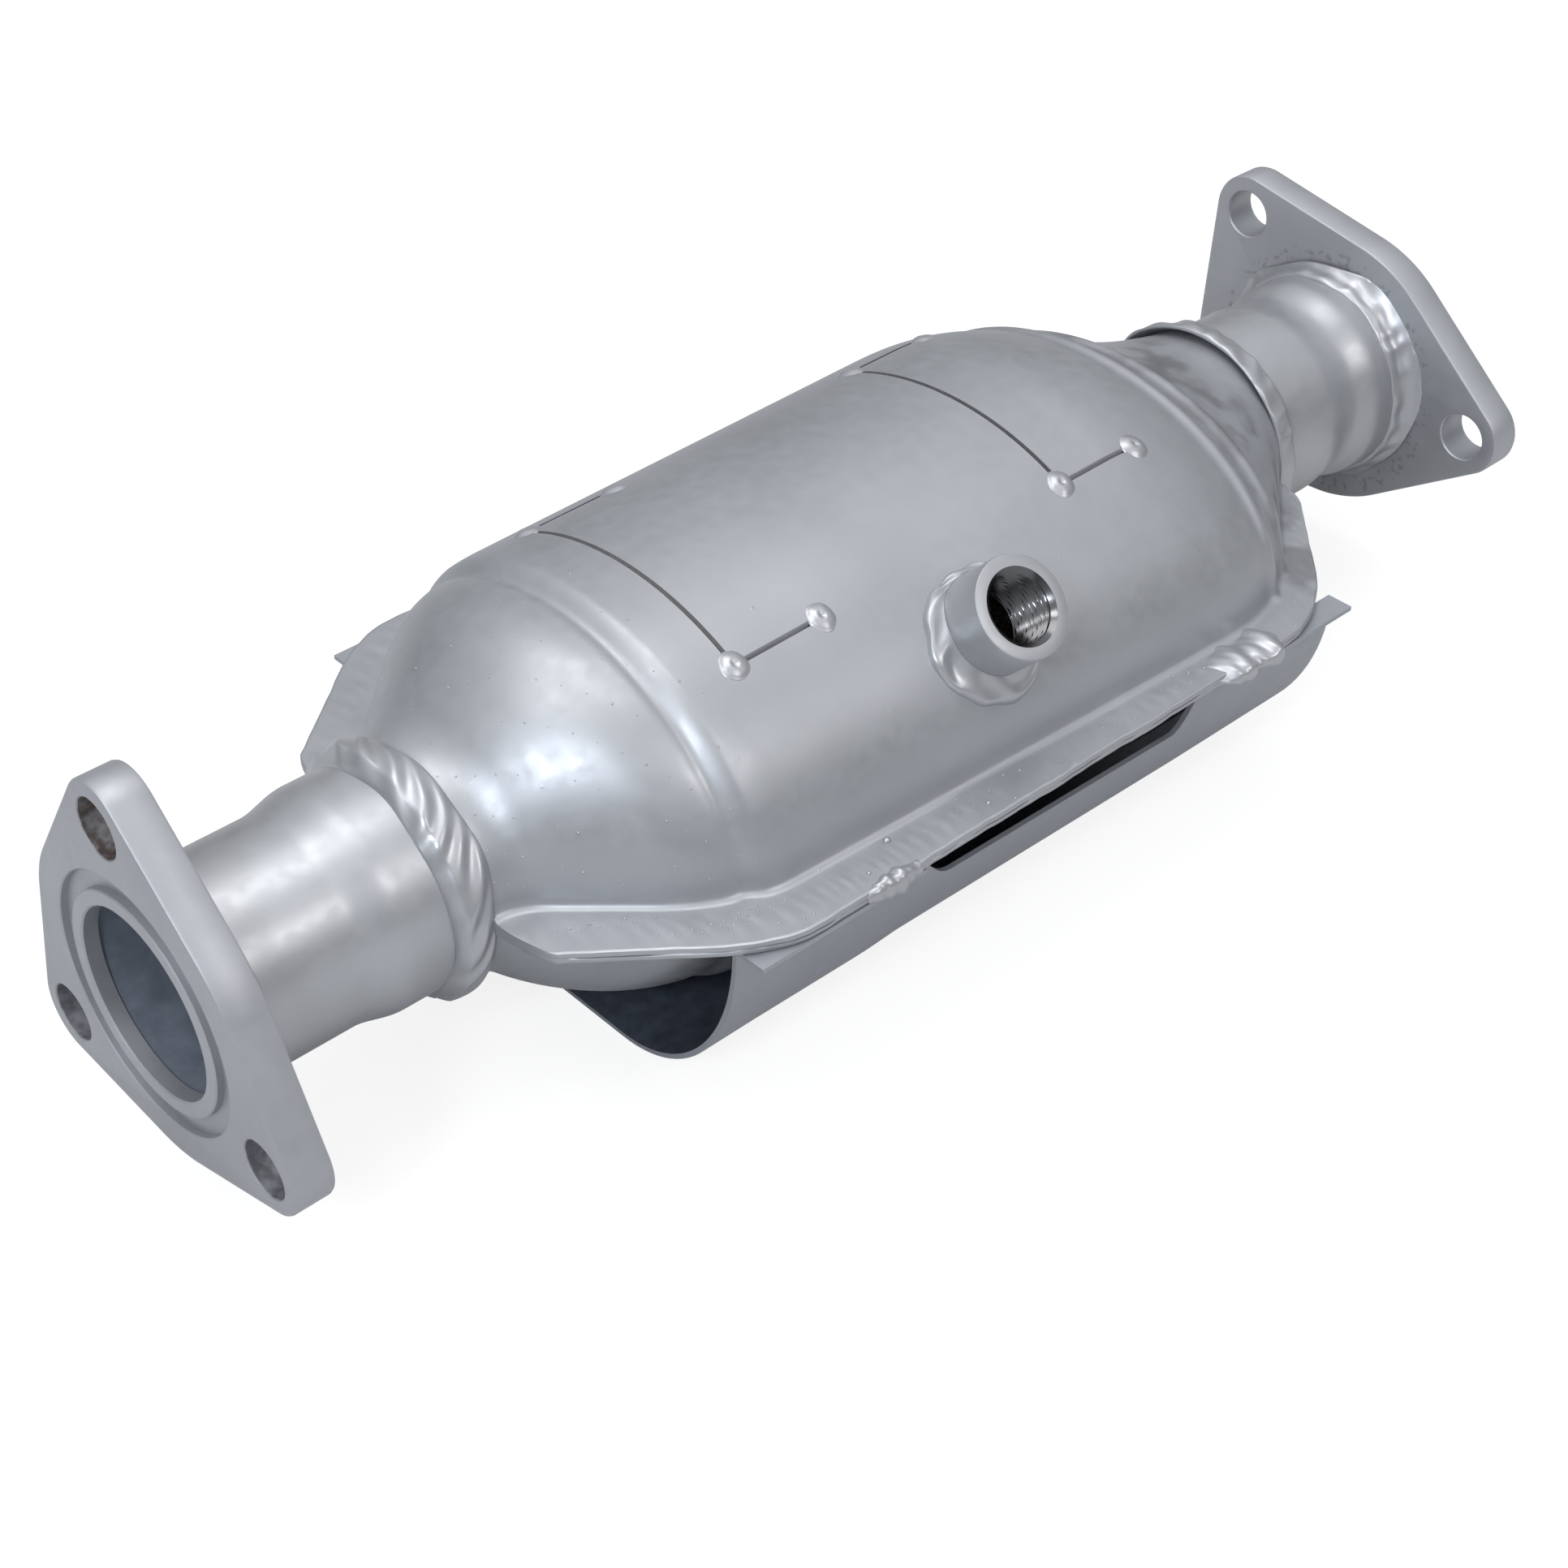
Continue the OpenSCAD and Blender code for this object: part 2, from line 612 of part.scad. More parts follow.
module bung_weld() {
    wall_r = (bung_d / 2 + seat_gap) / cos(180 / bung_steps);
    rows = [for (k = [0 : bung_steps - 1])
        let (
            t = 360 * k / bung_steps,
            reach = bung_weld_reach + 0.8 * sin(5 * t) + 1.4 * sin(t),
            foot_in = on_body(bung_circle(wall_r, t)),
            foot_out = on_body(bung_circle(wall_r + reach, t)),
            tall = bung_weld_height + 0.5 * sin(7 * t)
        )
        [foot_in, foot_in + tall * bung_out, 0.5 * (foot_in + foot_out) + 0.7 * tall * bung_out,
            foot_out + 0.2 * tall * bung_out, foot_out]];
    m = 5;
    faces = [for (k = [0 : bung_steps - 1]) for (j = [0 : m - 1])
        let (a = k * m + j, b = k * m + (j + 1) % m,
            c = ((k + 1) % bung_steps) * m + (j + 1) % m, d = ((k + 1) % bung_steps) * m + j)
        each [[a, b, c], [a, c, d]]];
    color(bead) polyhedron([for (row = rows) each row], faces, convexity = 6);
}

// Round weld at each end of each slit leg: a low cap of a ball
plug_height = 1.5;
plug_lift = 0.15;
plug_ball_r = (pow(plug_d / 2, 2) + pow(plug_height, 2)) / (2 * plug_height);
function top_z(x, y) = rise(x) + half_height(x) * sqrt(1 - pow(y / half_width(x), 2));
module plug(x, side) {
    y = side * slit_width / 2;
    e = plug_d / 2;
    lean_x = atan((top_z(x + e, y) - top_z(x - e, y)) / plug_d);
    lean_y = atan((top_z(x, y + e) - top_z(x, y - e)) / plug_d);
    translate([x, y, top_z(x, y)]) rotate([lean_y, -lean_x, 0])
        translate([0, 0, plug_lift]) difference() {
            translate([0, 0, plug_height - plug_ball_r]) sphere(r = plug_ball_r, $fn = 24);
            translate([-plug_ball_r - 1, -plug_ball_r - 1, -2 * plug_ball_r])
                cube(2 * [plug_ball_r + 1, plug_ball_r + 1, plug_ball_r]);
        }
}
module plug_welds() {
    color(bead) for (x = slit_x) for (dx = [0, slit_leg]) for (side = [-1, 1])
        plug(x + dx, side);
}

// Weld along the lip's edge where the shield meets the seam flange. cover is how far
// it spreads over the flange's top. Each section starts at the flange's top edge,
// the one point that sees all the others.
module edge_weld(x0, length, side, size, cover, seed) {
    steps = 12;
    edge = lip_reach + seat_gap;
    top = sheet + seat_gap;
    low = shield_top - shield_sheet;
    xs = [for (k = [0 : steps]) x0 + length * k / steps];
    sections = [for (k = [0 : steps])
        let (
            s = sin(180 * (0.06 + 0.88 * k / steps)),
            g = size * (0.45 + 0.55 * s + 0.12 * sin(seed + 97 * k)),
            c = cover * (0.6 + 0.4 * s + 0.1 * sin(2 * seed + 71 * k)),
            path = [[edge, top], [edge, low - 0.2 * g], [edge + 0.55 * g, low + 0.2],
                [edge + 0.8 * g, -0.4], [edge + 0.6 * g, top], [edge - 0.1 * c, top + 0.5 * g],
                [edge - 0.6 * c, top + 0.55 * g], [edge - c, top]]
        )
        side > 0 ? path : [for (q = concat([path[0]],
            back([for (k = [1 : len(path) - 1]) path[k]]))) [-q[0], q[1]]]];
    color(bead) skin(xs, sections, fan(len(sections[0])));
}
// Length, size and cover of the welds in front of the slot and behind it
front_weld = [17, 3.4, 2.5];
rear_weld = [20, 4.2, 7];
weld_margin = 1;
front_weld_x = shield_x0 + slot_place - weld_margin - front_weld[0];
rear_weld_x = shield_x0 + slot_place + slot_length + weld_margin;
module shield_weld_front_left() {
    edge_weld(front_weld_x, front_weld[0], -1, front_weld[1], front_weld[2], 10);
}
module shield_weld_front_right() {
    edge_weld(front_weld_x, front_weld[0], 1, front_weld[1], front_weld[2], 50);
}
module shield_weld_rear_left() {
    edge_weld(rear_weld_x, rear_weld[0], -1, rear_weld[1], rear_weld[2], 90);
}
module shield_weld_rear_right() {
    edge_weld(rear_weld_x, rear_weld[0], 1, rear_weld[1], rear_weld[2], 140);
}

upper_shell();
lower_shell();
inlet_pipe();
outlet_pipe();
inlet_flange();
outlet_flange();
sensor_bung();
heat_shield();
front_brick();
rear_brick();
front_mat();
rear_mat();
inlet_flange_weld();
inlet_pipe_weld();
outlet_pipe_weld();
outlet_flange_weld();
bung_weld();
plug_welds();
shield_weld_front_left();
shield_weld_front_right();
shield_weld_rear_left();
shield_weld_rear_right();
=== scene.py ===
# %% [markdown]
# # A catalytic converter, dressed
# The frame brings the converter in as plain solids, in metres, in its own place: the
# inlet flange's face is at the origin, +X runs to the outlet and +Z is up. This lesson
# gives each solid the surface that the real one has. It is stamped sheet, turned tube
# and heavy weld, all under one coat of silver heat paint.
# The CAD box is kept at once.

# %% Load the frame
import json
import math

import bmesh
import bpy
import numpy as np
from mathutils import Matrix, Vector
from mathutils.geometry import tessellate_polygon

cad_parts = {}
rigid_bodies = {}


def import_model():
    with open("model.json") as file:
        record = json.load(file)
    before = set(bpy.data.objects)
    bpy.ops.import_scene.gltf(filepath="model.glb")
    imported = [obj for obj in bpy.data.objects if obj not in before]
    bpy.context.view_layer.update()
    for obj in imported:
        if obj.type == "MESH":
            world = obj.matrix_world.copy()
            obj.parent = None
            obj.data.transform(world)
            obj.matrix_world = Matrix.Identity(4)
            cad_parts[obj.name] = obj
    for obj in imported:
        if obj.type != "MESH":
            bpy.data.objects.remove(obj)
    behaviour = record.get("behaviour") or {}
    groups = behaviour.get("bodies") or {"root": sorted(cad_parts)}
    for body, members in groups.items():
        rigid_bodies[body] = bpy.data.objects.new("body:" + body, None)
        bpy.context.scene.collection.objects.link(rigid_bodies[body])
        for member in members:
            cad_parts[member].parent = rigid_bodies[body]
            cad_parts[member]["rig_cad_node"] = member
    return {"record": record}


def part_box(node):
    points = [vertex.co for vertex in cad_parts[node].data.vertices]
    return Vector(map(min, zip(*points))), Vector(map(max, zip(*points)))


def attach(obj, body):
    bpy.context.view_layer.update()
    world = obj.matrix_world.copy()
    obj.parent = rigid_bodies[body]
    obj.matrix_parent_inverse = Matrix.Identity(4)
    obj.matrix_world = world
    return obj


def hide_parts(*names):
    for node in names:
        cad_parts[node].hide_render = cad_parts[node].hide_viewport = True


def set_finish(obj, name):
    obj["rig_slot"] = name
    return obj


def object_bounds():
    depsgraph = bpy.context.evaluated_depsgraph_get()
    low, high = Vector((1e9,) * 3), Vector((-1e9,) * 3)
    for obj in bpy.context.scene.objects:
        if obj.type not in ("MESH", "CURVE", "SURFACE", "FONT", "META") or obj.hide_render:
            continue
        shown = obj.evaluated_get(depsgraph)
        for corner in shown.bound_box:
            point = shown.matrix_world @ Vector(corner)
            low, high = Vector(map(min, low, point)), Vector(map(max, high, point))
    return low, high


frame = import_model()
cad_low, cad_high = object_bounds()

MM = 0.001
print("CAD box in mm:", [round(v / MM, 1) for v in (*cad_low, *cad_high)])

# %% [markdown]
# ## The camera
# The photograph was taken from above the inlet's near side. A camera's place can be
# guessed and nudged, but here it was solved from the flanges' round holes, so it is
# written as a place and two directions. The lens follows from the focal length in
# pixels, since a 36 mm sensor is as wide as the 1932 pixel frame.

# %% Place the camera
FRAME_PX = 1932
FOCAL_PX = 3298
SENSOR = 36.0
CAMERA_PLACE = Vector((-178.7, -389.6, 379.5)) * MM
LOOK = Vector((0.53288, 0.57711, -0.61885)).normalized()


def new_object(name, data):
    """An object that holds the data, linked into the scene."""
    thing = bpy.data.objects.new(name, data)
    bpy.context.scene.collection.objects.link(thing)
    return thing


right = LOOK.cross(Vector((0, 0, 1))).normalized()
up = right.cross(LOOK)
camera_data = bpy.data.cameras.new("camera")
camera_data.sensor_width = SENSOR
camera_data.lens = SENSOR * FOCAL_PX / FRAME_PX
camera_data.clip_start = 0.01
camera = new_object("camera", camera_data)
turn = Matrix((right, up, -LOOK)).transposed().to_4x4()
camera.matrix_world = Matrix.Translation(CAMERA_PLACE) @ turn
bpy.context.scene.camera = camera
print("lens in mm:", round(camera_data.lens, 2))

# %% [markdown]
# ## Small helpers for meshes
# Most pieces here are grids of points: a section repeated along a line, or a profile
# turned round an axis. One helper turns such a grid into a mesh, closing it across
# either direction. Modelling in arrays keeps every surface tied to a formula, which a
# sculpted mesh would lose. Points are in millimetres until the mesh is made.

# %% Make meshes from grids of points
def grid_faces(rows, cols, close_rows=False, close_cols=False):
    """Quads between neighbours of a grid of rows x cols points."""
    i = np.arange(rows if close_rows else rows - 1)
    j = np.arange(cols if close_cols else cols - 1)
    i, j = (a.ravel() for a in np.meshgrid(i, j, indexing="ij"))
    i2, j2 = (i + 1) % rows, (j + 1) % cols
    return np.c_[i * cols + j, i * cols + j2, i2 * cols + j2, i2 * cols + j]


def face_outwards(mesh):
    """Turns every face of a closed mesh outwards; returns its volume in cubic centimetres."""
    work = bmesh.new()
    work.from_mesh(mesh)
    bmesh.ops.recalc_face_normals(work, faces=work.faces[:])
    volume = work.calc_volume()
    work.to_mesh(mesh)
    work.free()
    return volume * 1e6


def add_piece(name, points, faces, slot, node, sharp_deg, closed=True):
    """A smooth-shaded mesh object in place of a solid, with the finish of a material slot."""
    mesh = bpy.data.meshes.new(name)
    mesh.from_pydata((np.asarray(points, float) * MM).tolist(), [], [tuple(map(int, f)) for f in faces])
    mesh.validate()
    if closed:
        face_outwards(mesh)
    mesh.shade_smooth()
    mesh.set_sharp_from_angle(angle=math.radians(sharp_deg))
    piece = new_object(name, mesh)
    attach(piece, "root")
    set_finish(piece, slot)
    if node:
        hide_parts(node)
    print(name, "faces", len(mesh.polygons))
    return piece


# %% [markdown]
# ## The body's form
# The body is an oval tube whose half width and half height change along X. Both grow
# from a round neck over the front cone, step up at the shoulder, widen slowly along the
# barrel and draw in over the rear cone. The smooth minimum of straight lines gives just
# those shapes with soft corners. The same formulas shape the solids, so the dressed
# shell lies where the solid does.

# %% Smooth joins of lines
def smin(u, v, k):
    return np.minimum(u, v) - (np.maximum(k - np.abs(u - v), 0) / k) ** 2 * k / 4


def smax(u, v, k):
    return -smin(-u, -v, k)


def ease(s):
    s = np.clip(s, 0, 1)
    return s * s * (3 - 2 * s)


def bump(v, centre, spread):
    return np.exp(-((v - centre) / spread) ** 2)


print("smooth minimum of 3 and 3:", smin(3, 3, 2))

# %% Half width and half height along the body
body_low, body_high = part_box("upper_shell")
X0, X1 = body_low.x / MM, body_high.x / MM
NECK_R, FRONT_NECK = 29.2, 13
SHEET = 1.5
WIDTH_FRONT, WIDTH_REAR = 126.0, 136.0
HEIGHT_FRONT, HEIGHT_REAR = 99.0, 103.0
FRONT_END, REAR_END = 56, 76
SHOULDER_AT, SHOULDER_RUN, SHOULDER_STEP = 51, 6, 2.0
CREASE_AT, CREASE_DEPTH, CREASE_SPREAD = 51.5, 0.5, 1.7
RIDGES_AT, RIDGE_HEIGHT, RIDGE_SPREAD = (49, 39), 1.5, 2.2
OUTLET_RISE, RISE_RUN = 1.6, 50


def barrel_share(x):
    """How far along the barrel x lies: 0 where the front cone ends, 1 where the rear one starts."""
    return np.clip((x - X0 - FRONT_END) / (X1 - X0 - FRONT_END - REAR_END), 0, 1)


def swell(x, front, rear, front_slope, rear_slope, rear_neck, front_round, rear_round):
    fore, aft = x - X0, X1 - x
    step = SHOULDER_STEP * (1 - ease((fore - SHOULDER_AT) / SHOULDER_RUN))
    barrel = (front + (rear - front) * barrel_share(x)) / 2 - step
    front_cone = NECK_R + front_slope * (fore - FRONT_NECK)
    rear_cone = NECK_R + rear_slope * (aft - rear_neck)
    ridges = RIDGE_HEIGHT * sum(bump(aft, place, RIDGE_SPREAD) for place in RIDGES_AT)
    crease = CREASE_DEPTH * bump(fore, CREASE_AT, CREASE_SPREAD)
    both = smin(smin(front_cone, barrel, front_round), rear_cone, rear_round)
    return smax(NECK_R, both, 5) + ridges - crease


def half_width(x):
    return swell(x, WIDTH_FRONT, WIDTH_REAR, front_slope=0.92, rear_slope=0.84, rear_neck=4.7,
                 front_round=12, rear_round=16)


def half_height(x):
    return swell(x, HEIGHT_FRONT, HEIGHT_REAR, front_slope=1.0, rear_slope=0.47, rear_neck=22,
                 front_round=14, rear_round=8)


def rise(x):
    return OUTLET_RISE * ease((REAR_END - (X1 - x)) / RISE_RUN)


print("widest half width in mm:", round(float(half_width(np.linspace(X0, X1, 400)).max()), 1))

# %% [markdown]
# ## Uneven things
# Nothing on a welded part is even: beads wander, edges are burnt back a little, and
# paint carries nibs. Random numbers would do, but a few sine waves with different counts
# give the same result on every run, and they close on themselves round a ring.

# %% A repeatable wobble
def wobble(turns, seed, counts=(2, 3, 5, 8)):
    """Smooth uneven signal of about unit size; turns goes from 0 to 1 round a closed path."""
    total = 0.0
    for n, count in enumerate(counts):
        total = total + np.sin(2 * math.pi * count * turns + seed * (n + 1.7)) / (1 + 0.6 * n)
    return total / 1.6


print("wobble sample:", np.round(wobble(np.array([0.0, 0.3, 0.6]), 1.0), 2))

# %% [markdown]
# ## The seam flange
# The two halves meet in a flat flange along each side, and a weld runs in the joint. Its
# outline starts with a blunt rounded nose, widens along the front cone, runs straight
# and draws in again. Smooth minima of lines give that outline too. A quarter ellipse at
# each end rounds the nose and the tail.

# %% Reach of the seam flange
SEAM_START, SEAM_END = 6.6, 6.2
SEAM_HALF = 78.0
NOSE_HALF, NOSE_SLOPE, TAIL_HALF = 44.5, 0.81, 38
NOSE_ROUND = 4.0
BURNT_EDGE = 0.22


def seam_reach(x):
    fore, aft = x - X0 - SEAM_START, X1 - x - SEAM_END
    outline = smin(smin(NOSE_HALF + NOSE_SLOPE * fore, SEAM_HALF, 10), TAIL_HALF + aft, 14)
    wall = half_width(x) + 0.05
    nose = np.minimum(np.clip(fore, 0, NOSE_ROUND), np.clip(aft, 0, NOSE_ROUND)) / NOSE_ROUND
    burnt = BURNT_EDGE * wobble(x / 80, 1.9, (2, 3, 5, 9, 14))
    return wall + np.maximum(outline - wall + burnt, 0) * np.sqrt(1 - (1 - nose) ** 2)


def seam_reach_at(x):
    return float(seam_reach(np.array([x]))[0])


print("seam reach at mid length in mm:", round(seam_reach_at(200.0), 1))

# %% [markdown]
# ## Weld ripples
# A weld freezes in overlapping scales, each a small crescent that bows away from the
# torch. A saw wave along the weld, bent by the square of the distance from its middle,
# gives that pattern, and easing its rise keeps the scales from looking cut.

# %% Fish-scale ripples
RIPPLE_BOW = 0.55


def ripples(along, across, pitch):
    """Fish-scale ripples of a weld: along in mm, across from -1 to 1, result from 0 to 1."""
    phase = along / pitch + RIPPLE_BOW * across**2
    saw = phase - np.floor(phase)
    return (1 - saw) ** 1.3 * ease(saw * 3.5)


print("ripple sample:", np.round(ripples(np.array([0.2, 1.0, 2.0]), 0.0, 2.4), 2))

# %% [markdown]
# ## The body halves
# Each half is one pressing: an arch of sheet with a flange along each foot. It could be
# cut from a tube, but building it from sections gives the sheet its thickness, its
# fillets and its flange at once. The slits are made by leaving out the cells between
# two close rows and joining outside to inside there, which needs no Boolean and keeps
# the surface round them smooth.

# %% Stations and columns of a half
SLIT_HALF = 36.0
SLIT_LEG = 26.0
SLIT_GAP = 1.2
SLIT_X = (X0 + 71, X1 - 101)
SIDE_COLS, TOP_COLS = 30, 50
FOOT_FILLET = 2.4


def stations(step, slits):
    """Places of the rows along X: even ones, close ones at both noses, and those at the slits."""
    nose = NOSE_ROUND * (1 - np.cos(np.linspace(0, 1.5, 9)))
    even = [np.arange(X0, X1, step), [X1], X0 + SEAM_START + nose, X1 - SEAM_END - nose]
    xs = np.unique(np.round(np.concatenate(even), 4))
    at_slits = []
    if slits:
        for x in SLIT_X:
            at_slits += [x - SLIT_GAP / 2, x + SLIT_GAP / 2, x + SLIT_LEG]
    for place in at_slits:
        xs = xs[np.abs(xs - place) > 0.35 * step]
    return np.sort(np.concatenate([xs, at_slits]))


def arch_angles(x):
    """Angles of the arch's columns at each station, with columns along both slit legs."""
    hw = half_width(x)
    start = np.arcsin((SHEET + FOOT_FILLET) / half_height(x))
    leg = np.minimum(SLIT_HALF, 0.8 * hw)
    outer = np.arccos((leg + SLIT_GAP / 2) / hw)
    inner = np.arccos((leg - SLIT_GAP / 2) / hw)
    side = np.linspace(0, 1, SIDE_COLS)[None, :]
    near = start[:, None] + (outer - start)[:, None] * side
    top = inner[:, None] + (math.pi - 2 * inner)[:, None] * np.linspace(0, 1, TOP_COLS)[None, :]
    return np.concatenate([near, top, math.pi - near[:, ::-1]], axis=1)


print("rows of the upper half:", len(stations(0.8, True)))

# %% [markdown]
# The foot is where the arch turns out into the flange. Its weld has left low, uneven
# ripples over the flange's top, and the flange's rim is a little rounded. These are real
# dents in the mesh and not only shading, since the light rakes along them.

# %% The foot of a half
RIPPLE_LIFT, RIPPLE_PITCH = 0.24, 4.1


def foot_points(x, way, marks):
    """Points from the arch's foot over the fillet, the flange top, its rim and its underside."""
    wall = half_width(x) * np.cos(np.arcsin(np.clip((SHEET - way * rise(x)) / half_height(x), -1, 1)))
    reach = seam_reach(x)
    room = reach - wall
    fillet = np.minimum(FOOT_FILLET, 0.4 * room)
    points = []
    for a in np.linspace(0.15, 1, 6):
        y = wall + fillet * (1 - math.cos(a * math.pi / 2))
        z = SHEET + fillet * (1 - math.sin(a * math.pi / 2))
        points.append((y, z))
    flat = np.clip(room / 8, 0, 1)
    strength = 0.6 + 0.4 * np.sin(x / 17 + 1.3 * np.sin(x / 41))
    along = x + 9 * np.sin(x / 23) + 2.5 * np.sin(x / 7.3)
    for s in np.linspace(0.12, 0.93, 10):
        scales = 0.8 * strength * ripples(along, 2 * s - 1, RIPPLE_PITCH)
        waves = 0.35 * wobble(x / 70, 3.1 + 2 * s, (3, 7, 13, 21))
        lift = RIPPLE_LIFT * marks * flat * math.sin(math.pi * s) ** 2 * (scales + waves)
        points.append((wall + fillet + (reach - wall - fillet) * s, SHEET + lift))
    rim = 0.45 * SHEET
    shrink = np.minimum(rim, 0.2 * room + 1e-3)
    for degrees in (0, 45, 90):
        t = math.radians(degrees)
        points.append((reach - shrink * (1 - math.sin(t)), np.full_like(x, SHEET - rim * (1 - math.cos(t)))))
    joint = np.minimum(0.5, 0.2 * room) * np.clip(1 + 0.8 * wobble(x / 60, 5.2), 0.1, 1.6)
    points.append((reach, np.full_like(x, 0.3)))
    points.append((reach - joint, np.zeros_like(x)))
    points.append((half_width(x) - SHEET, np.zeros_like(x)))
    return points


# %% The whole section of a half
def half_grid(x, way, marks):
    """Grid of the half's sections, with the numbers of points in its arch and in its foot."""
    angles = arch_angles(x)
    hw, hh, lifted = (f[:, None] for f in (half_width(x), half_height(x), way * rise(x)))
    outer = np.stack([hw * np.cos(angles), lifted + hh * np.sin(angles)], axis=2)
    lean = np.arcsin(np.clip(-lifted / (hh - SHEET), -1, 1))
    share = (angles - angles[:, :1]) / (angles[:, -1:] - angles[:, :1])
    bend = lean + (math.pi - 2 * lean) * share
    inner = np.stack([(hw - SHEET) * np.cos(bend), lifted + (hh - SHEET) * np.sin(bend)], axis=2)
    foot = np.stack([np.stack(p, axis=1) for p in foot_points(x, way, marks)], axis=1)
    section = np.concatenate([outer, foot * [-1, 1], inner[:, ::-1], foot[:, ::-1]], axis=1)
    xs = np.repeat(x[:, None, None], section.shape[1], axis=1)
    return np.concatenate([xs, section], axis=2), outer.shape[1], foot.shape[1]


# %% [markdown]
# ## Where the bung stands
# The bung is set square on the oval body, so its axis is the body's own normal at a
# chosen tilt. Its foot is worked out here already, since the upper half needs a hole
# under it.

# %% The bung's foot and axis
BUNG_X = X0 + 134
BUNG_TILT = math.radians(44.5)
BUNG_HOLE_R = 11.2
bung_wide, bung_high = half_width(BUNG_X), half_height(BUNG_X)
flat_tilt = math.atan(math.tan(BUNG_TILT) * bung_high / bung_wide)
bung_foot = np.array([BUNG_X, -bung_wide * math.cos(flat_tilt), bung_high * math.sin(flat_tilt)])
bung_out = np.array([0, -math.cos(BUNG_TILT), math.sin(BUNG_TILT)])
bung_side = np.array([0, -math.sin(BUNG_TILT), -math.cos(BUNG_TILT)])
bung_along = np.array([1.0, 0, 0])


def from_bung_axis(points):
    away = points - bung_foot
    return np.linalg.norm(away - (away @ bung_out)[..., None] * bung_out, axis=-1)


print("bung foot in mm:", np.round(bung_foot, 1))


# %% Cells that are cut out
def in_slit(x_mid, col, arch):
    """Whether a cell of the arch is part of a slit: its cross cut or one of its legs."""
    legs = (SIDE_COLS - 1, arch - SIDE_COLS - 1)
    for x in SLIT_X:
        if abs(x_mid - x) < SLIT_GAP / 2 and legs[0] <= col <= legs[1]:
            return True
        if x - SLIT_GAP / 2 < x_mid < x + SLIT_LEG and col in legs:
            return True
    return False


def cut_cells(grid, x, arch):
    """Cells of the arch whose middle falls under the bung or in a slit."""
    middle = (grid[:-1, :arch - 1] + grid[1:, 1:arch]) / 2
    under_bung = (from_bung_axis(middle) < BUNG_HOLE_R) & (middle[:, :, 1] < 0)
    return {(i, j) for i in range(len(x) - 1) for j in range(arch - 1)
            if under_bung[i, j] or in_slit((x[i] + x[i + 1]) / 2, j, arch)}


def cut_walls(cut, cols, inside):
    """Quads from the outside to the inside, round the cells that are cut out."""
    sides = ((-1, 0, (0, 0), (0, 1)), (1, 0, (1, 1), (1, 0)), (0, -1, (1, 0), (0, 0)), (0, 1, (0, 1), (1, 1)))
    walls = []
    for i, j in sorted(cut):
        for di, dj, a, b in sides:
            if (i + di, j + dj) not in cut:
                (ai, aj), (bi, bj) = ((i + a[0], j + a[1]), (i + b[0], j + b[1]))
                walls.append((ai * cols + aj, bi * cols + bj, bi * cols + inside[bj], ai * cols + inside[aj]))
    return walls


def cap_strips(rows, cols, arch, foot, way):
    """Quads that close a half's two ends between its outside and its inside."""
    strips = []
    for base, flip in ((0, way > 0), ((rows - 1) * cols, way < 0)):
        for j in range(arch - 1):
            inner = base + arch + foot + arch - 1 - j
            quad = [base + j, base + j + 1, inner - 1, inner]
            strips.append(quad if flip else quad[::-1])
        left = list(range(base + arch - 1, base + arch + foot + 1))
        right = [base] + list(range(base + cols - 1, base + cols - 2 - foot, -1))
        strips += [left if flip else left[::-1], right[::-1] if flip else right]
    return strips


# %% Build both halves
def half_body(name, node, way, step, slits):
    x = stations(step, slits)
    grid, arch, foot = half_grid(x, way, 1.0 if slits else 0.4)
    rows, cols = grid.shape[:2]
    grid[:, :, 2] *= way
    cut = cut_cells(grid, x, arch) if slits else set()
    inside = {j: arch + foot + arch - 1 - j for j in range(arch)}
    dropped = cut | {(i, inside[j + 1]) for i, j in cut}
    keep = [face if way < 0 else face[::-1] for face in grid_faces(rows, cols, close_cols=True)
            if divmod(int(face[0]), cols) not in dropped]
    faces = keep + cut_walls(cut, cols, inside) + cap_strips(rows, cols, arch, foot, way)
    return add_piece(name, grid.reshape(-1, 3), faces, "body_paint", node, 32)


half_body("upper_shell_skin", "upper_shell", 1, 0.8, True)
half_body("lower_shell_skin", "lower_shell", -1, 1.6, False)

# %% [markdown]
# ## Turned pieces
# Tubes, bungs and bores are profiles turned round an axis. A screw or spin modifier
# would do it, but a plain grid lets the radius change round the turn as well, which the
# welds need. Tubes get a little hand-formed unevenness, under a fifth of a millimetre.

# %% Turn a profile round the X axis
PIPE_WALL = 1.9
INLET_R, OUTLET_R, WAIST_R = 25.4, 28.6, 26.2
PIPE_NECK_R = (NECK_R - SHEET) * math.cos(math.radians(4.5)) - 0.05
LENGTH = cad_high.x / MM
TUBE_SEGMENTS, TUBE_UNEVEN = 192, 0.12


def eased(x0, x1, r0, r1, steps=12):
    return [(x0 + (x1 - x0) * k / steps, r0 + (r1 - r0) * float(ease(k / steps))) for k in range(steps + 1)]


def tube(name, node, outside, rise_mm, seed):
    """A tube from its outside profile of (x, r), with a wall of even thickness."""
    profile = np.array(outside + [(x, r - PIPE_WALL) for x, r in reversed(outside)], float)
    turns = np.arange(TUBE_SEGMENTS) / TUBE_SEGMENTS
    t = 2 * math.pi * turns[:, None]
    r = profile[None, :, 1] + TUBE_UNEVEN * wobble(turns, seed, (2, 3, 5))[:, None]
    x = np.broadcast_to(profile[None, :, 0], r.shape)
    points = np.stack([x, r * np.cos(t), rise_mm + r * np.sin(t)], axis=2)
    faces = grid_faces(TUBE_SEGMENTS, len(profile), True, True)
    return add_piece(name, points.reshape(-1, 3), faces, "pipe_paint", node, 40)


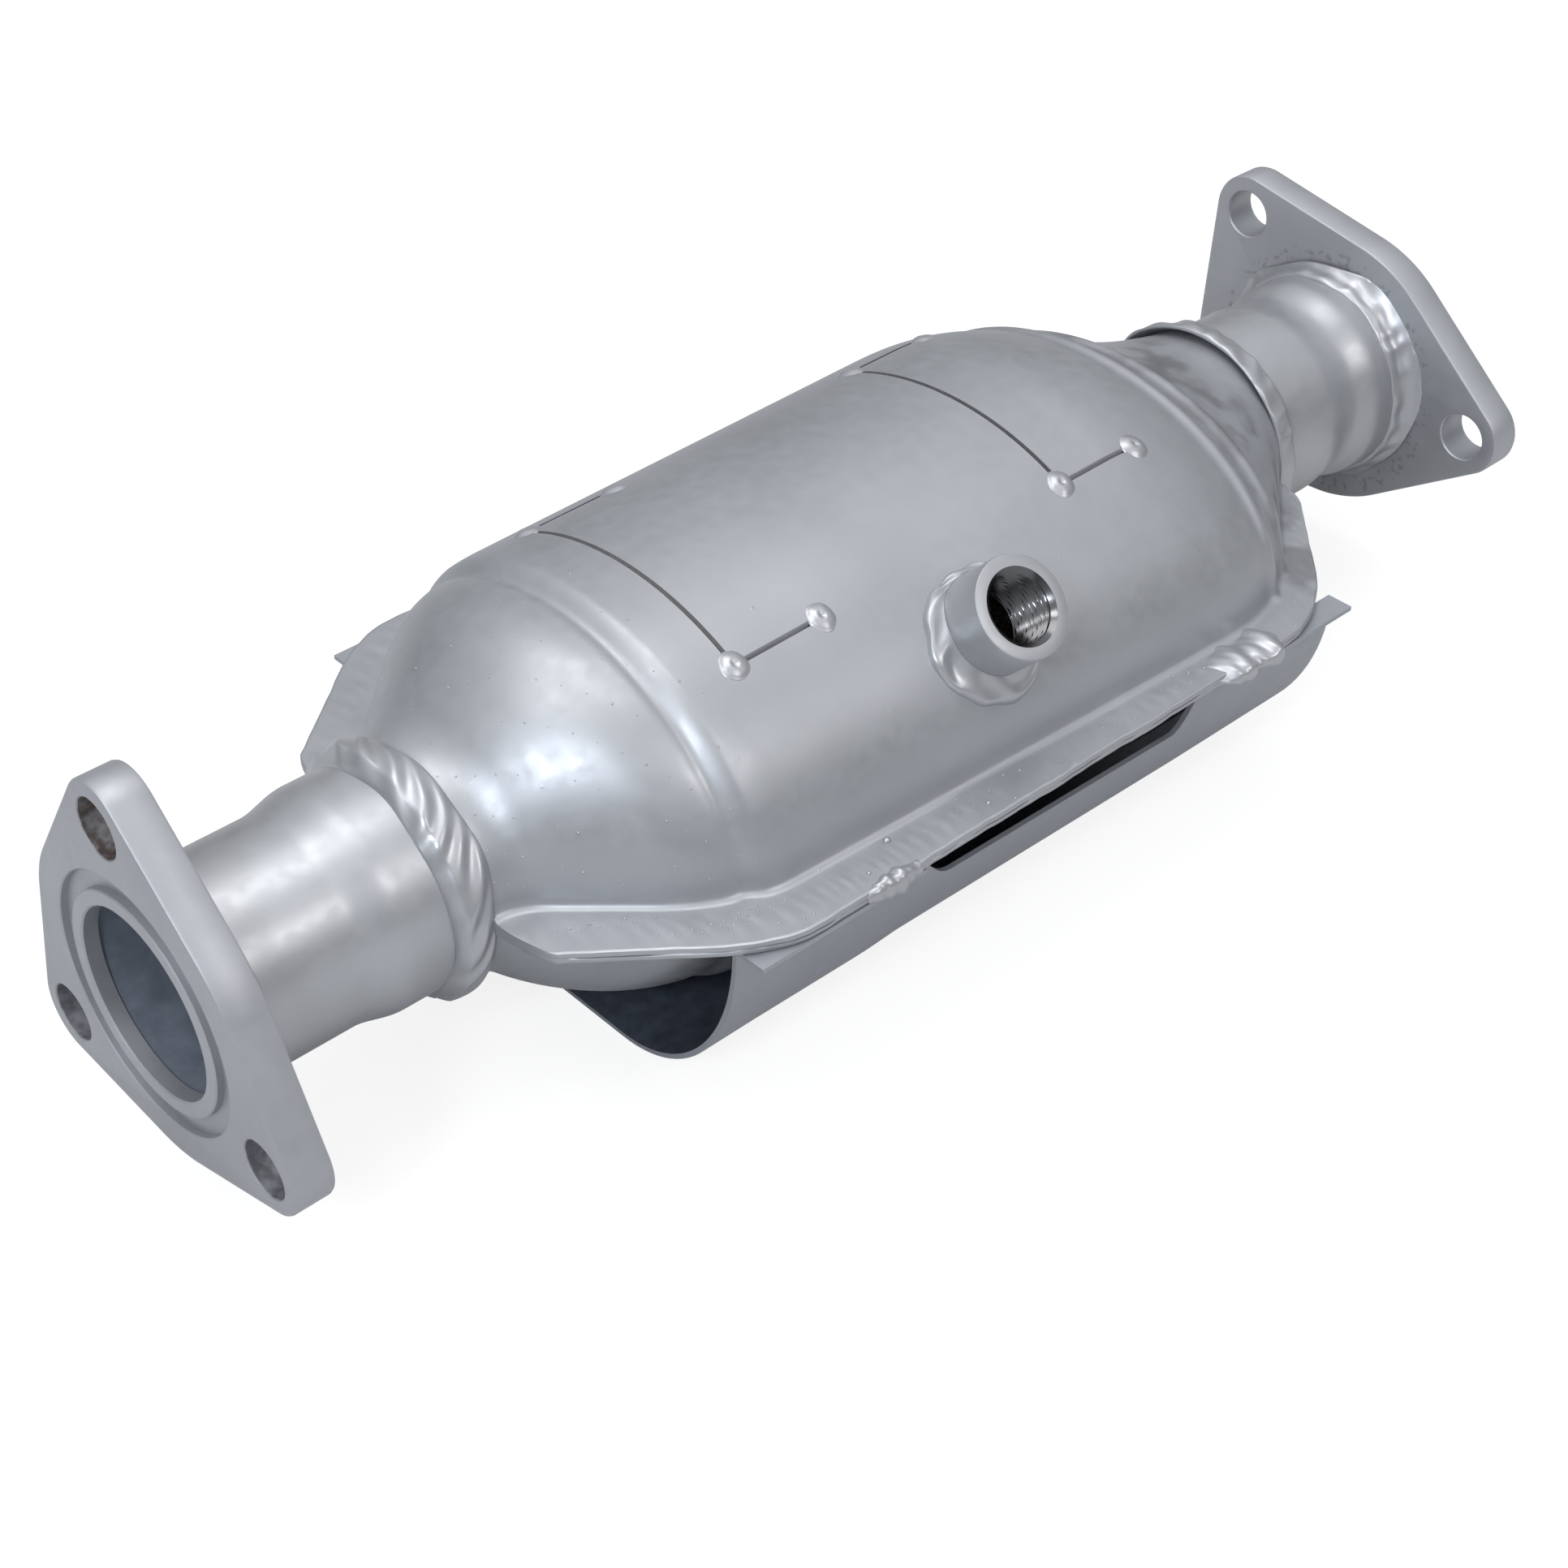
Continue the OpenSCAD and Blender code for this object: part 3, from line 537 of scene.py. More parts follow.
inlet = [(4, INLET_R), (20, INLET_R), (X0 - 30, INLET_R)]
inlet += eased(X0 - 24, X0 - 12, INLET_R, PIPE_NECK_R) + [(X0 - 4, PIPE_NECK_R), (X0 + 12, PIPE_NECK_R)]
outlet = [(X1 - 12, PIPE_NECK_R), (X1 + 10, PIPE_NECK_R)]
outlet += eased(X1 + 20, X1 + 30, PIPE_NECK_R, WAIST_R) + eased(X1 + 31, X1 + 41, WAIST_R, OUTLET_R)
outlet += [(X1 + 50, OUTLET_R), (LENGTH - 1.5, OUTLET_R)]
inlet_tube = tube("inlet_pipe_skin", "inlet_pipe", inlet, 0.0, 0.4)
outlet_tube = tube("outlet_pipe_skin", "outlet_pipe", outlet, OUTLET_RISE, 2.2)

# %% [markdown]
# ## The flanges
# Each flange is a thick plate cut to a rounded triangle, drilled for three bolts. Its
# outline is a string pulled tight round four circles. The plate's faces are filled
# between that outline and the holes, and its rim is broken with a small bevel, because
# a perfectly sharp edge catches no light and looks false.

# %% Outline of a plate: the tight string round circles
def tight_outline(circles):
    """Convex outline round circles of (y, z, r): each point as its circle and its direction."""
    angles = np.linspace(0, 2 * math.pi, 720, endpoint=False)
    direction = np.stack([np.cos(angles), np.sin(angles)], axis=1)
    reach = np.stack([direction @ np.array(c[:2]) + c[2] for c in circles], axis=1)
    best = reach.argmax(axis=1)
    return [(circles[b], direction[k]) for k, b in enumerate(best) if k % 2 == 0 or best[k] != best[k - 1]]


def outline_points(outline, inset):
    return np.array([np.array(c[:2]) + (c[2] - inset) * d for c, d in outline])


def ring_points(y, z, r, count=64):
    t = np.linspace(0, 2 * math.pi, count, endpoint=False)
    return np.stack([y + r * np.cos(t), z + r * np.sin(t)], axis=1)


def bolt_circle(radius, degrees, r):
    return [(radius * math.cos(math.radians(a)), radius * math.sin(math.radians(a)), r) for a in degrees]


# %% A plate with bevelled rim, bolt holes and a turned middle
FLANGE_T, RIM_BEVEL, HOLE_BEVEL = 10.0, 0.8, 0.35


def plate(name, node, x0, circles, holes, middle, rise_mm):
    """middle is the profile of (x, r) from the front face through the plate's centre to its back."""
    x1 = x0 + FLANGE_T
    outline = tight_outline(circles)
    rim = [(x0, RIM_BEVEL), (x0 + 0.25 * RIM_BEVEL, 0.35 * RIM_BEVEL), (x0 + RIM_BEVEL, 0),
           (x1 - RIM_BEVEL, 0), (x1 - 0.25 * RIM_BEVEL, 0.35 * RIM_BEVEL), (x1, RIM_BEVEL)]
    points, faces = [], []

    def add_rings(rings):
        start, count = len(points), len(rings[0][1])
        for x, ring in rings:
            points.extend([(x, y, z) for y, z in ring])
        faces.extend((grid_faces(len(rings), count, close_cols=True) + start).tolist())
        return start, start + (len(rings) - 1) * count, count

    loops = [add_rings([(x, outline_points(outline, inset)) for x, inset in rim])]
    for y, z, r in holes:
        wall = [(x0, r + HOLE_BEVEL), (x0 + HOLE_BEVEL, r), (x1 - HOLE_BEVEL, r), (x1, r + HOLE_BEVEL)]
        loops.append(add_rings([(x, ring_points(y, z, rr)) for x, rr in wall]))
    loops.append(add_rings([(x, ring_points(0, 0, r, 128)) for x, r in middle]))
    for side in (0, 1):
        runs = [range(loop[side], loop[side] + loop[2]) for loop in loops]
        edge = [[Vector((0, *points[k][1:])) for k in run] for run in runs]
        index = [k for run in runs for k in run]
        for tri in tessellate_polygon(edge):
            faces.append([index[k] for k in tri])
    return add_piece(name, np.array(points) + [0, 0, rise_mm], faces, "flange_paint", node, 30)


# %% Build both flanges
WEB_R, CORNER_R = 40.0, 11.0
INLET_BOLT_R, INLET_HOLE_R = 44.4, 7.0
OUTLET_BOLT_R, OUTLET_HOLE_R = 48.0, 6.6
inlet_degrees = [90 - 6.6 + 120 * k for k in range(3)]
outlet_degrees = [183, 183 + 136, 183 - 136]
outlet_face = LENGTH - FLANGE_T
seat = [(0, 31.7), (0.3, 31.4), (2, 31.4), (2, 26.8), (0.3, 26.8), (0, 26.5), (0, 23.3), (0.4, 22.9),
        (4, 22.9), (4, 25.45), (10, 25.45)]
socket = [(outlet_face, 28.65), (LENGTH, 28.65)]
inlet_holes = bolt_circle(INLET_BOLT_R, inlet_degrees, INLET_HOLE_R)
outlet_holes = bolt_circle(OUTLET_BOLT_R, outlet_degrees, OUTLET_HOLE_R)
inlet_corners = bolt_circle(INLET_BOLT_R, inlet_degrees, CORNER_R)
outlet_corners = bolt_circle(OUTLET_BOLT_R, outlet_degrees, CORNER_R)
plate("inlet_flange_skin", "inlet_flange", 0.0, [(0, 0, WEB_R)] + inlet_corners, inlet_holes, seat, 0.0)
plate("outlet_flange_skin", "outlet_flange", outlet_face, [(0, 0, WEB_R)] + outlet_corners, outlet_holes,
      socket, OUTLET_RISE)

# %% [markdown]
# ## Welds round the tubes
# A weld bead is a low hump of frozen metal, wide where the torch slowed and narrow where
# it hurried. Its surface is a row of overlapping scales, or of thick lobes like a rope's
# where the torch was swung. Each bead here is a ring of sections: the hump's width and
# height wander round the ring, and the pattern rides on the hump. The bead's underside
# lies just under the surface of the metal that it joins.

# %% A bead round the X axis
BEAD_SEGMENTS, BEAD_ACROSS = 420, 26
BEAD_RADIUS = 29


def ring_bead(name, node, base, ends, rise_mm, crown, pitch, seed, rough, soft, slant=0.0):
    """base gives the radius under the bead at each x; soft goes from scales at 0 to a rope at 1."""
    turns = np.arange(BEAD_SEGMENTS)[:, None] / BEAD_SEGMENTS
    v = np.linspace(-1, 1, BEAD_ACROSS)[None, :]
    low = ends[0] + 0.9 * wobble(turns, seed)
    high = ends[1] + 1.1 * wobble(turns, seed + 4)
    x = low + (high - low) * (v + 1) / 2
    ground = base(x)
    around = turns * 2 * math.pi * BEAD_RADIUS + slant * v + 2.2 * wobble(turns, seed + 2, (3, 7, 11))
    rope = 0.5 + 0.5 * np.sin(2 * math.pi * around / pitch + 1.5 * v**2)
    scale = (1 - soft) * ripples(around, v, pitch) + soft * rope
    hump = (1 - v**2) ** 0.62
    lumps = 1 + 0.28 * wobble(turns + 0.03 * v, seed + 1, (3, 7, 11, 17))
    r = ground + crown * hump * lumps + rough * hump * (scale - 0.4)
    deep = np.maximum(ground - 0.4, 0)
    t = 2 * math.pi * turns
    top, under = (np.stack([x, q * np.cos(t), rise_mm + q * np.sin(t)], axis=2) for q in (r, deep))
    ring = np.concatenate([top, under[:, ::-1]], axis=1)
    faces = grid_faces(BEAD_SEGMENTS, 2 * BEAD_ACROSS, True, True)
    return add_piece(name, ring.reshape(-1, 3), faces, "weld_paint", node, 60)


# %% The metal under a bead
def over_neck(x_end, way):
    """Radius under a neck bead: the neck on one side of its end, the tube on the other."""
    def base(x):
        neck = np.maximum(half_width(x), half_height(x)) + 0.1
        fall = np.clip(1 - (x - x_end) * way / 2.5, 0, 1)
        return np.where((x - x_end) * way > 0, PIPE_NECK_R + (neck - PIPE_NECK_R) * fall, neck)
    return base


FLANGE_LEG = 4.4


def beside_flange(x_flange, way, tube_r):
    """Radius under a flange bead: it climbs from the tube to the plate's face."""
    def base(x):
        near = np.clip(1 - (x - x_flange) * way / FLANGE_LEG, 0, 1)
        return tube_r + 0.1 + FLANGE_LEG * near**2.2
    return base


# %% The four beads
ring_bead("inlet_pipe_bead", "inlet_pipe_weld", over_neck(X0, -1), (X0 - 2.8, X0 + 8.2), 0.0,
          crown=1.7, pitch=9.1, seed=1.3, rough=0.8, soft=0.75, slant=8.5)
ring_bead("outlet_pipe_bead", "outlet_pipe_weld", over_neck(X1, 1), (X1 - 6.8, X1 + 2.8), OUTLET_RISE,
          crown=1.7, pitch=7.3, seed=5.1, rough=0.55, soft=0.65, slant=2.5)
ring_bead("inlet_flange_bead", "inlet_flange_weld", beside_flange(FLANGE_T, 1, INLET_R),
          (FLANGE_T + 0.05, FLANGE_T + 5.4), 0.0, crown=0.9, pitch=5.2, seed=2.6, rough=0.3, soft=0.6)
ring_bead("outlet_flange_bead", "outlet_flange_weld", beside_flange(outlet_face, -1, OUTLET_R),
          (outlet_face - 6.6, outlet_face - 0.05), OUTLET_RISE,
          crown=1.1, pitch=7.3, seed=0.9, rough=0.35, soft=0.75, slant=0.8)

# %% [markdown]
# ## The sensor bung
# The bung is a turned steel ring with a fine inside thread. A thread is one groove wound
# round and round, so its radius depends on the height less the turn, in pitches. Here a
# grid round the bore takes its radius from that difference, and fades to plain bore at
# both ends. The mouth is countersunk.

# %% Build the bung and its thread
BUNG_R, THREAD_CORE, THREAD_ROOT, MOUTH_R = 12.6, 8.25, 9.2, 9.4
BUNG_TOP, BUNG_SINK, PITCH = 14.0, 3.0, 1.5
BUNG_SEGMENTS, THREAD_ROWS = 128, 110


def around_bung(r, t, height):
    """Points at radius r, angle t and height along the bung's own axis."""
    r, t, height = np.broadcast_arrays(r, t, height)
    across = np.cos(t)[..., None] * bung_along + np.sin(t)[..., None] * bung_side
    return bung_foot + r[..., None] * across + height[..., None] * bung_out


def build_bung():
    t = np.linspace(0, 2 * math.pi, BUNG_SEGMENTS, endpoint=False)[:, None]
    outside = np.array([(BUNG_R, -BUNG_SINK), (BUNG_R, 4), (BUNG_R, BUNG_TOP - 0.5),
                        (BUNG_R - 0.1, BUNG_TOP - 0.15), (BUNG_R - 0.4, BUNG_TOP),
                        (MOUTH_R + 0.15, BUNG_TOP), (MOUTH_R, BUNG_TOP - 0.12)])
    depth = np.linspace(BUNG_TOP - 1.1, -BUNG_SINK, THREAD_ROWS)[None, :]
    turn = (depth / PITCH - t / (2 * math.pi)) % 1
    groove = 1 - np.abs(2 * turn - 1)
    fade = np.clip((BUNG_TOP - 1.0 - depth) / 0.8, 0, 1) * np.clip((depth + BUNG_SINK) / 1.0, 0, 1)
    bore = THREAD_CORE + (THREAD_ROOT - THREAD_CORE) * groove * fade
    radii = np.concatenate([np.repeat(outside[None, :, 0], BUNG_SEGMENTS, 0), bore], axis=1)
    heights = np.concatenate([outside[None, :, 1], depth], axis=1)
    points = around_bung(radii, t, heights)
    faces = grid_faces(BUNG_SEGMENTS, points.shape[1], True, True)[:, ::-1]
    return add_piece("sensor_bung_skin", points.reshape(-1, 3), faces, "bung_steel", "sensor_bung", 28)


bung_piece = build_bung()

# %% [markdown]
# ## The weld round the bung
# This bead is the roughest on the part: thin towards the outlet, and piled into a
# lobed blob towards the inlet and below. Its foot has to follow the oval body, so each
# point is dropped onto the body along the bung's axis before the hump is raised.

# %% Drop points on the body and raise the bead
BLOB_ANGLE = math.radians(135)
BUNG_BEAD_SEGMENTS, BUNG_BEAD_ACROSS = 260, 18


def on_body(points, lift):
    """Moves points along the bung's axis to the body's surface, lift above it."""
    wide, high = half_width(points[..., 0]) + lift, half_height(points[..., 0]) + lift
    a = (bung_out[1] / wide) ** 2 + (bung_out[2] / high) ** 2
    b = points[..., 1] * bung_out[1] / wide**2 + points[..., 2] * bung_out[2] / high**2
    c = (points[..., 1] / wide) ** 2 + (points[..., 2] / high) ** 2 - 1
    return points + ((np.sqrt(b * b - a * c) - b) / a)[..., None] * bung_out


def build_bung_bead():
    turns = np.arange(BUNG_BEAD_SEGMENTS)[:, None] / BUNG_BEAD_SEGMENTS
    t = 2 * math.pi * turns
    v = np.linspace(0, 1, BUNG_BEAD_ACROSS)[None, :]
    towards_blob = 0.5 + 0.5 * np.cos(t - BLOB_ANGLE)
    reach = 2.0 + 4.8 * towards_blob**2 + 0.8 * wobble(turns, 2.4, (3, 5, 8, 13))
    tall = 1.1 + 1.5 * towards_blob + 0.4 * wobble(turns, 1.1, (2, 5, 9))
    foot = on_body(around_bung(BUNG_R + 0.05 + reach * v, t, 0.0), 0.1)
    hump = (1 - v) ** 0.55 * (1 + 0.7 * v) * (1 - 0.45 * towards_blob * np.sin(math.pi * v))
    lobes = np.sin(2 * math.pi * (8 * turns + 0.5 * v) + 1.6 * wobble(turns, 4.2, (2, 3, 5)))
    lumps = 0.3 * lobes + 0.35 * wobble(turns + 0.05 * v, 3.3, (4, 9, 14))
    blob = lumps * np.sin(math.pi * np.clip(v, 0, 1))
    skirt = 0.35 * np.clip((1 - v) * 9, 0, 1)
    height = np.maximum(tall * hump * 0.8 + blob + skirt, 0.0)
    top = foot + height[..., None] * bung_out
    under = foot[:, ::-1] - 0.35 * bung_out
    ring = np.concatenate([top, under], axis=1)
    faces = grid_faces(BUNG_BEAD_SEGMENTS, 2 * BUNG_BEAD_ACROSS, True, True)[:, ::-1]
    return add_piece("bung_bead", ring.reshape(-1, 3), faces, "weld_paint", "bung_weld", 60)


build_bung_bead()

# %% [markdown]
# ## Plug welds
# The ends of each slit's legs are closed by a round dab of weld, low, a little lopsided,
# with a small crater in the middle where the arc broke off and a thin halo of spread
# metal. All eight come from one form, each a little different through its own seed.

# %% Eight dabs of weld with craters
PLUG_R, PLUG_HEIGHT = 3.7, 1.1
PLUG_RINGS, PLUG_SEGMENTS = 14, 48


def body_top(x, y):
    return rise(x) + half_height(x) * np.sqrt(np.clip(1 - (y / half_width(x)) ** 2, 0, 1))


def plug_points(x, y, seed):
    v = np.linspace(0, 1, PLUG_RINGS)[:, None]
    turns = np.arange(PLUG_SEGMENTS)[None, :] / PLUG_SEGMENTS
    t = 2 * math.pi * turns
    radius = PLUG_R * v * (1 + 0.05 * wobble(turns, seed, (2, 3, 5)))
    dome = PLUG_HEIGHT * np.clip(1 - (1.12 * v) ** 3.2, 0.07, 1) * 0.85 - 0.35 * bump(v, 0.0, 0.16)
    dome = dome + 0.06 * bump(v, 0.34, 0.1) + 0.06 * wobble(turns, seed + 1, (3, 5)) * v
    dome = np.where(v > 0.995, -0.3, dome)
    px, py = x + radius * np.cos(t), y + radius * np.sin(t)
    d = 1e-2
    slope_x = (body_top(x + d, y) - body_top(x - d, y)) / (2 * d)
    slope_y = (body_top(x, y + d) - body_top(x, y - d)) / (2 * d)
    normal = np.array([-slope_x, -slope_y, 1.0]) / math.sqrt(slope_x**2 + slope_y**2 + 1)
    ground = np.stack([px, py, body_top(px, py)], axis=2)
    return (ground + dome[..., None] * normal).reshape(-1, 3)


def build_plugs():
    one = grid_faces(PLUG_RINGS, PLUG_SEGMENTS, close_cols=True)[:, ::-1]
    points, faces = [], []
    for n, x in enumerate(SLIT_X):
        for m, (dx, side) in enumerate(((0, -1), (SLIT_LEG, -1), (0, 1), (SLIT_LEG, 1))):
            faces += (one + len(points) * PLUG_RINGS * PLUG_SEGMENTS).tolist()
            points.append(plug_points(x + dx, side * SLIT_HALF, 1.0 + 2.3 * n + 1.7 * m))
    return add_piece("plug_weld_dabs", np.concatenate(points), faces, "weld_paint", "plug_welds", 60)


build_plugs()

# %% [markdown]
# ## The heat shield
# The shield is one thin sheet folded into a trough that hangs from the seam flange by
# its lips. Under the seam an open slot lets air through. The trough is again a row of
# sections, with the sheet's two faces side by side. The slot is the one cut made with a
# Boolean here, because its ends slant across the sections.

# %% Sections of the trough
shield_low, shield_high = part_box("heat_shield")
SHIELD_X0, SHIELD_X1 = shield_low.x / MM, shield_high.x / MM
SHIELD_SHEET = 1.2
SHIELD_TOP = -SHEET - 0.05
SHIELD_DEPTH = 55.0
SHIELD_GAP, SHIELD_DRAW = 2.9, 2.5
FLOOR_FRONT, FLOOR_REAR = 58, 54
LIP = SEAM_HALF
LIP_BEND = 1.2


def shield_half(x):
    widening = (WIDTH_REAR - WIDTH_FRONT) / 2 - SHIELD_DRAW
    return FOOT_FILLET + SHIELD_SHEET + WIDTH_FRONT / 2 + SHIELD_GAP + widening * barrel_share(x)


def half_floor(x):
    return (FLOOR_FRONT + (FLOOR_REAR - FLOOR_FRONT) * ease((x - SHIELD_X0 - 48) / 14)) / 2


def trough(x, inset, top):
    """One side of the trough from the lip's edge to the middle of the floor."""
    t = np.linspace(0, math.pi / 2, 26)[None, :]
    floor, wall = half_floor(x)[:, None], shield_half(x)[:, None]
    y = floor + (wall - floor - inset) * np.cos(t)
    z = top - (SHIELD_DEPTH + top - inset) * np.sin(t) + 0 * y
    bend = wall - inset + LIP_BEND
    lip_y = bend + (LIP - bend) * np.linspace(1, 0, 5)[None, :]
    middle_y = floor * np.linspace(0.8, 0, 5)[None, :]
    lip_z, middle_z = np.full_like(lip_y, top), np.full_like(middle_y, -SHIELD_DEPTH + inset)
    across, down = np.concatenate([lip_y, y, middle_y], 1), np.concatenate([lip_z, z, middle_z], 1)
    return np.stack([across, down], axis=2)


# %% Fold the sheet
def build_shield():
    close_rows = np.linspace(SHIELD_X0 + 44, SHIELD_X0 + 66, 23)
    x = np.unique(np.concatenate([np.linspace(SHIELD_X0, SHIELD_X1, 90), close_rows]))
    outside = trough(x, 0.0, SHIELD_TOP - SHIELD_SHEET)
    inside = trough(x, SHIELD_SHEET, SHIELD_TOP)
    mirror = np.array([-1, 1])
    far_outside, far_inside = (outside * mirror)[:, -2::-1], inside * mirror
    loop = np.concatenate([outside, far_outside, far_inside, inside[:, -2::-1]], axis=1)
    rows, cols = loop.shape[:2]
    grid = np.concatenate([np.repeat(x[:, None, None], cols, 1), loop], axis=2)
    faces = grid_faces(rows, cols, close_cols=True).tolist()
    for base, flip in ((0, False), ((rows - 1) * cols, True)):
        for j in range(cols // 2 - 1):
            quad = [base + j, base + cols - 1 - j, base + cols - 2 - j, base + j + 1]
            faces.append(quad[::-1] if flip else quad)
    return add_piece("heat_shield_skin", grid.reshape(-1, 3), faces, "shield_paint", "heat_shield", 30)


shield = build_shield()

# %% Cut the slots
SLOT_START, SLOT_END, SLOT_DEPTH, SLOT_EDGE = 49, 153, 16, 1.5


def slot_cutter(side):
    s0, s1, edge = SHIELD_X0 + SLOT_START, SHIELD_X0 + SLOT_END, SHIELD_TOP - SLOT_EDGE
    depth = SLOT_DEPTH - SLOT_EDGE
    outline = [(s0, 3), (s0, edge)]
    outline += [(s0 + 18 * a, edge - depth * float(ease(a))) for a in np.linspace(0.1, 1, 10)]
    outline += [(s1 - 10 * a, edge - depth * float(ease(a))) for a in np.linspace(1, 0, 11)]
    outline.append((s1, 3))
    points = [(px, side * y, pz) for y in (LIP + 4, LIP - 20) for px, pz in outline]
    n = len(outline)
    faces = [list(range(n))[::-1], list(range(n, 2 * n))]
    faces += [[k, (k + 1) % n, n + (k + 1) % n, n + k] for k in range(n)]
    mesh = bpy.data.meshes.new("cutter")
    mesh.from_pydata((np.array(points) * MM).tolist(), [], faces)
    face_outwards(mesh)
    return new_object("cutter", mesh)


print("shield sheet in cm3:", round(face_outwards(shield.data), 1))
for side in (-1, 1):
    cutter = slot_cutter(side)
    cut = shield.modifiers.new("slot", "BOOLEAN")
    cut.object = cutter
    cut.operation = "DIFFERENCE"
    cut.solver = "EXACT"
    cut.use_self = False
    bpy.context.view_layer.update()
    shield.data = bpy.data.meshes.new_from_object(shield.evaluated_get(bpy.context.evaluated_depsgraph_get()))
    shield.modifiers.clear()
    bpy.data.objects.remove(cutter)
print("shield sheet after the slots in cm3:", round(face_outwards(shield.data), 1))
shield.data.set_sharp_from_angle(angle=math.radians(30))

# %% [markdown]
# ## Welds that hold the shield
# Each lip is held by two short welds over the edge of the seam flange, one before the
# slot and one behind it. The rear one is a heavy smear that spreads over the flange.
# Each is a closed hump swept along the edge, with lumps and a tapered start and end.

# %% Four smears of weld
SMEAR_ROWS, SMEAR_AROUND = 90, 36


def edge_smear(name, node, x0, length, side, size, cover, seed, waist):
    """size is how far the smear stands proud, cover how far it reaches over the flange."""
    u = np.linspace(0, 1, SMEAR_ROWS)[:, None]
    t = np.linspace(0, 2 * math.pi, SMEAR_AROUND, endpoint=False)[None, :]
    taper = np.sin(math.pi * (0.02 + 0.96 * u)) ** 0.45 * (1 - waist * bump(u, 0.45, 0.12))
    grow = taper * (1 + 0.20 * wobble(u, seed, (2, 3, 5)) + 0.05 * wobble(u + t / 9, seed + 2, (3, 5, 9)))
    centre = LIP - 0.35 * cover
    y = centre + (0.5 * (cover + size) * np.cos(t) + 0.12 * cover) * grow
    y = smin(y, LIP + 0.95 * size, 1.5)
    lift = np.where(np.sin(t) > 0, 1.7 + 0.5 * size, 3.2)
    lumps = 0.35 * wobble(u * length / 24 + 0.08 * np.cos(t), seed + 3, (2, 3, 5)) * taper
    scales = 0.06 * ripples(u * length + 2.2 * np.cos(t), 0.0, 5.2)
    z = -0.2 + lift * np.sin(t) * grow + (lumps + scales) * np.maximum(np.sin(t), 0)
    x = x0 + length * u + 0 * t
    points = np.stack([x, side * y, z], axis=2).reshape(-1, 3)
    faces = grid_faces(SMEAR_ROWS, SMEAR_AROUND, close_cols=True)
    faces = (faces if side > 0 else faces[:, ::-1]).tolist()
    first = list(range(SMEAR_AROUND))
    last = [k + (SMEAR_ROWS - 1) * SMEAR_AROUND for k in first]
    faces += [first[::-1], last] if side > 0 else [first, last[::-1]]
    return add_piece(name, points, faces, "weld_paint", node, 60)


for side, hand, seed in ((-1, "left", 0.7), (1, "right", 3.9)):
    edge_smear(f"shield_front_smear_{hand}", f"shield_weld_front_{hand}", SHIELD_X0 + 31, 17, side,
               size=2.2, cover=2.6, seed=seed, waist=0.0)
    edge_smear(f"shield_rear_smear_{hand}", f"shield_weld_rear_{hand}", SHIELD_X0 + 148, 26, side,
               size=3.4, cover=12.0, seed=seed + 1.5, waist=0.25)

# %% [markdown]
# ## The ceramic bricks
# Each brick is an oval honeycomb of square cells under two millimetres wide, with walls
# as thin as card. An array modifier would copy one cell, but the oval edge needs cells
# left out, so the grid is made cell by cell: a frame round each cell on both faces, and
# four walls running through. Plain rims close the ragged edge.

# %% Cells through an oval brick
CELL, CELL_WALL = 1.9, 0.3


def brick_cells(half_w, half_h):
    """Centres of the cells whose corners all lie inside the oval."""
    reach_y, reach_z = int(half_w / CELL) + 1, int(half_h / CELL) + 1
    y, z = np.meshgrid(np.arange(-reach_y, reach_y + 1) * CELL, np.arange(-reach_z, reach_z + 1) * CELL)
    far = ((np.abs(y) + CELL / 2) / half_w) ** 2 + ((np.abs(z) + CELL / 2) / half_h) ** 2
    return np.stack([y[far < 1], z[far < 1]], axis=1)


def build_brick(name, node):
    low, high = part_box(node)
    x0, x1, half_w, half_h = low.x / MM, high.x / MM, high.y / MM, high.z / MM
    corner = np.array([(-1, -1), (1, -1), (1, 1), (-1, 1)]) / 2
    points, faces = [], []
    for y, z in brick_cells(half_w, half_h):
        start = len(points)
        for x in (x0, x1):
            for width in (CELL, CELL - CELL_WALL):
                points += [(x, y + width * a, z + width * b) for a, b in corner]
        for k in range(4):
            n = (k + 1) % 4
            faces.append([start + n, start + k, start + 4 + k, start + 4 + n])
            faces.append([start + 8 + k, start + 8 + n, start + 12 + n, start + 12 + k])
            faces.append([start + 4 + n, start + 4 + k, start + 12 + k, start + 12 + n])
    rim_start, count = len(points), 128
    t = np.linspace(0, 2 * math.pi, count, endpoint=False)
    for x, share in ((x0 + 0.02, 0.965), (x0, 1.0), (x1, 1.0), (x1 - 0.02, 0.965)):
        points += [(x, half_w * share * math.cos(a), half_h * share * math.sin(a)) for a in t]
    faces += (grid_faces(4, count, close_cols=True) + rim_start).tolist()
    return add_piece(name, points, faces, "substrate", node, 20, closed=False)


for end in ("front", "rear"):
    build_brick(f"{end}_brick_cells", f"{end}_brick")

# %% [markdown]
# ## Drops of spatter
# The torch threw small drops that froze where they landed, and the paint then covered
# them. Most are under a millimetre wide. They gather on the front cone and along the
# weld on the seam flange. Each is a small squashed ball set halfway into the metal.

# %% One drop, and where the body's surface lies
DROP_SQUASH = 0.7


def drop(centre, normal, r):
    """Points of a ball of radius r, flattened along the normal."""
    a = np.linspace(0, math.pi, 7)[:, None]
    t = np.linspace(0, 2 * math.pi, 10, endpoint=False)[None, :]
    side = np.cross(normal, (1.0, 0.02, 0.03))
    side /= np.linalg.norm(side)
    other = np.cross(normal, side)
    flat = r * np.sin(a)
    tall = r * DROP_SQUASH * np.cos(a) + 0 * t
    points = np.asarray(centre)
    for reach, way in ((flat * np.cos(t), side), (flat * np.sin(t), other), (tall, np.asarray(normal))):
        points = points + reach[..., None] * way
    return points.reshape(-1, 3)


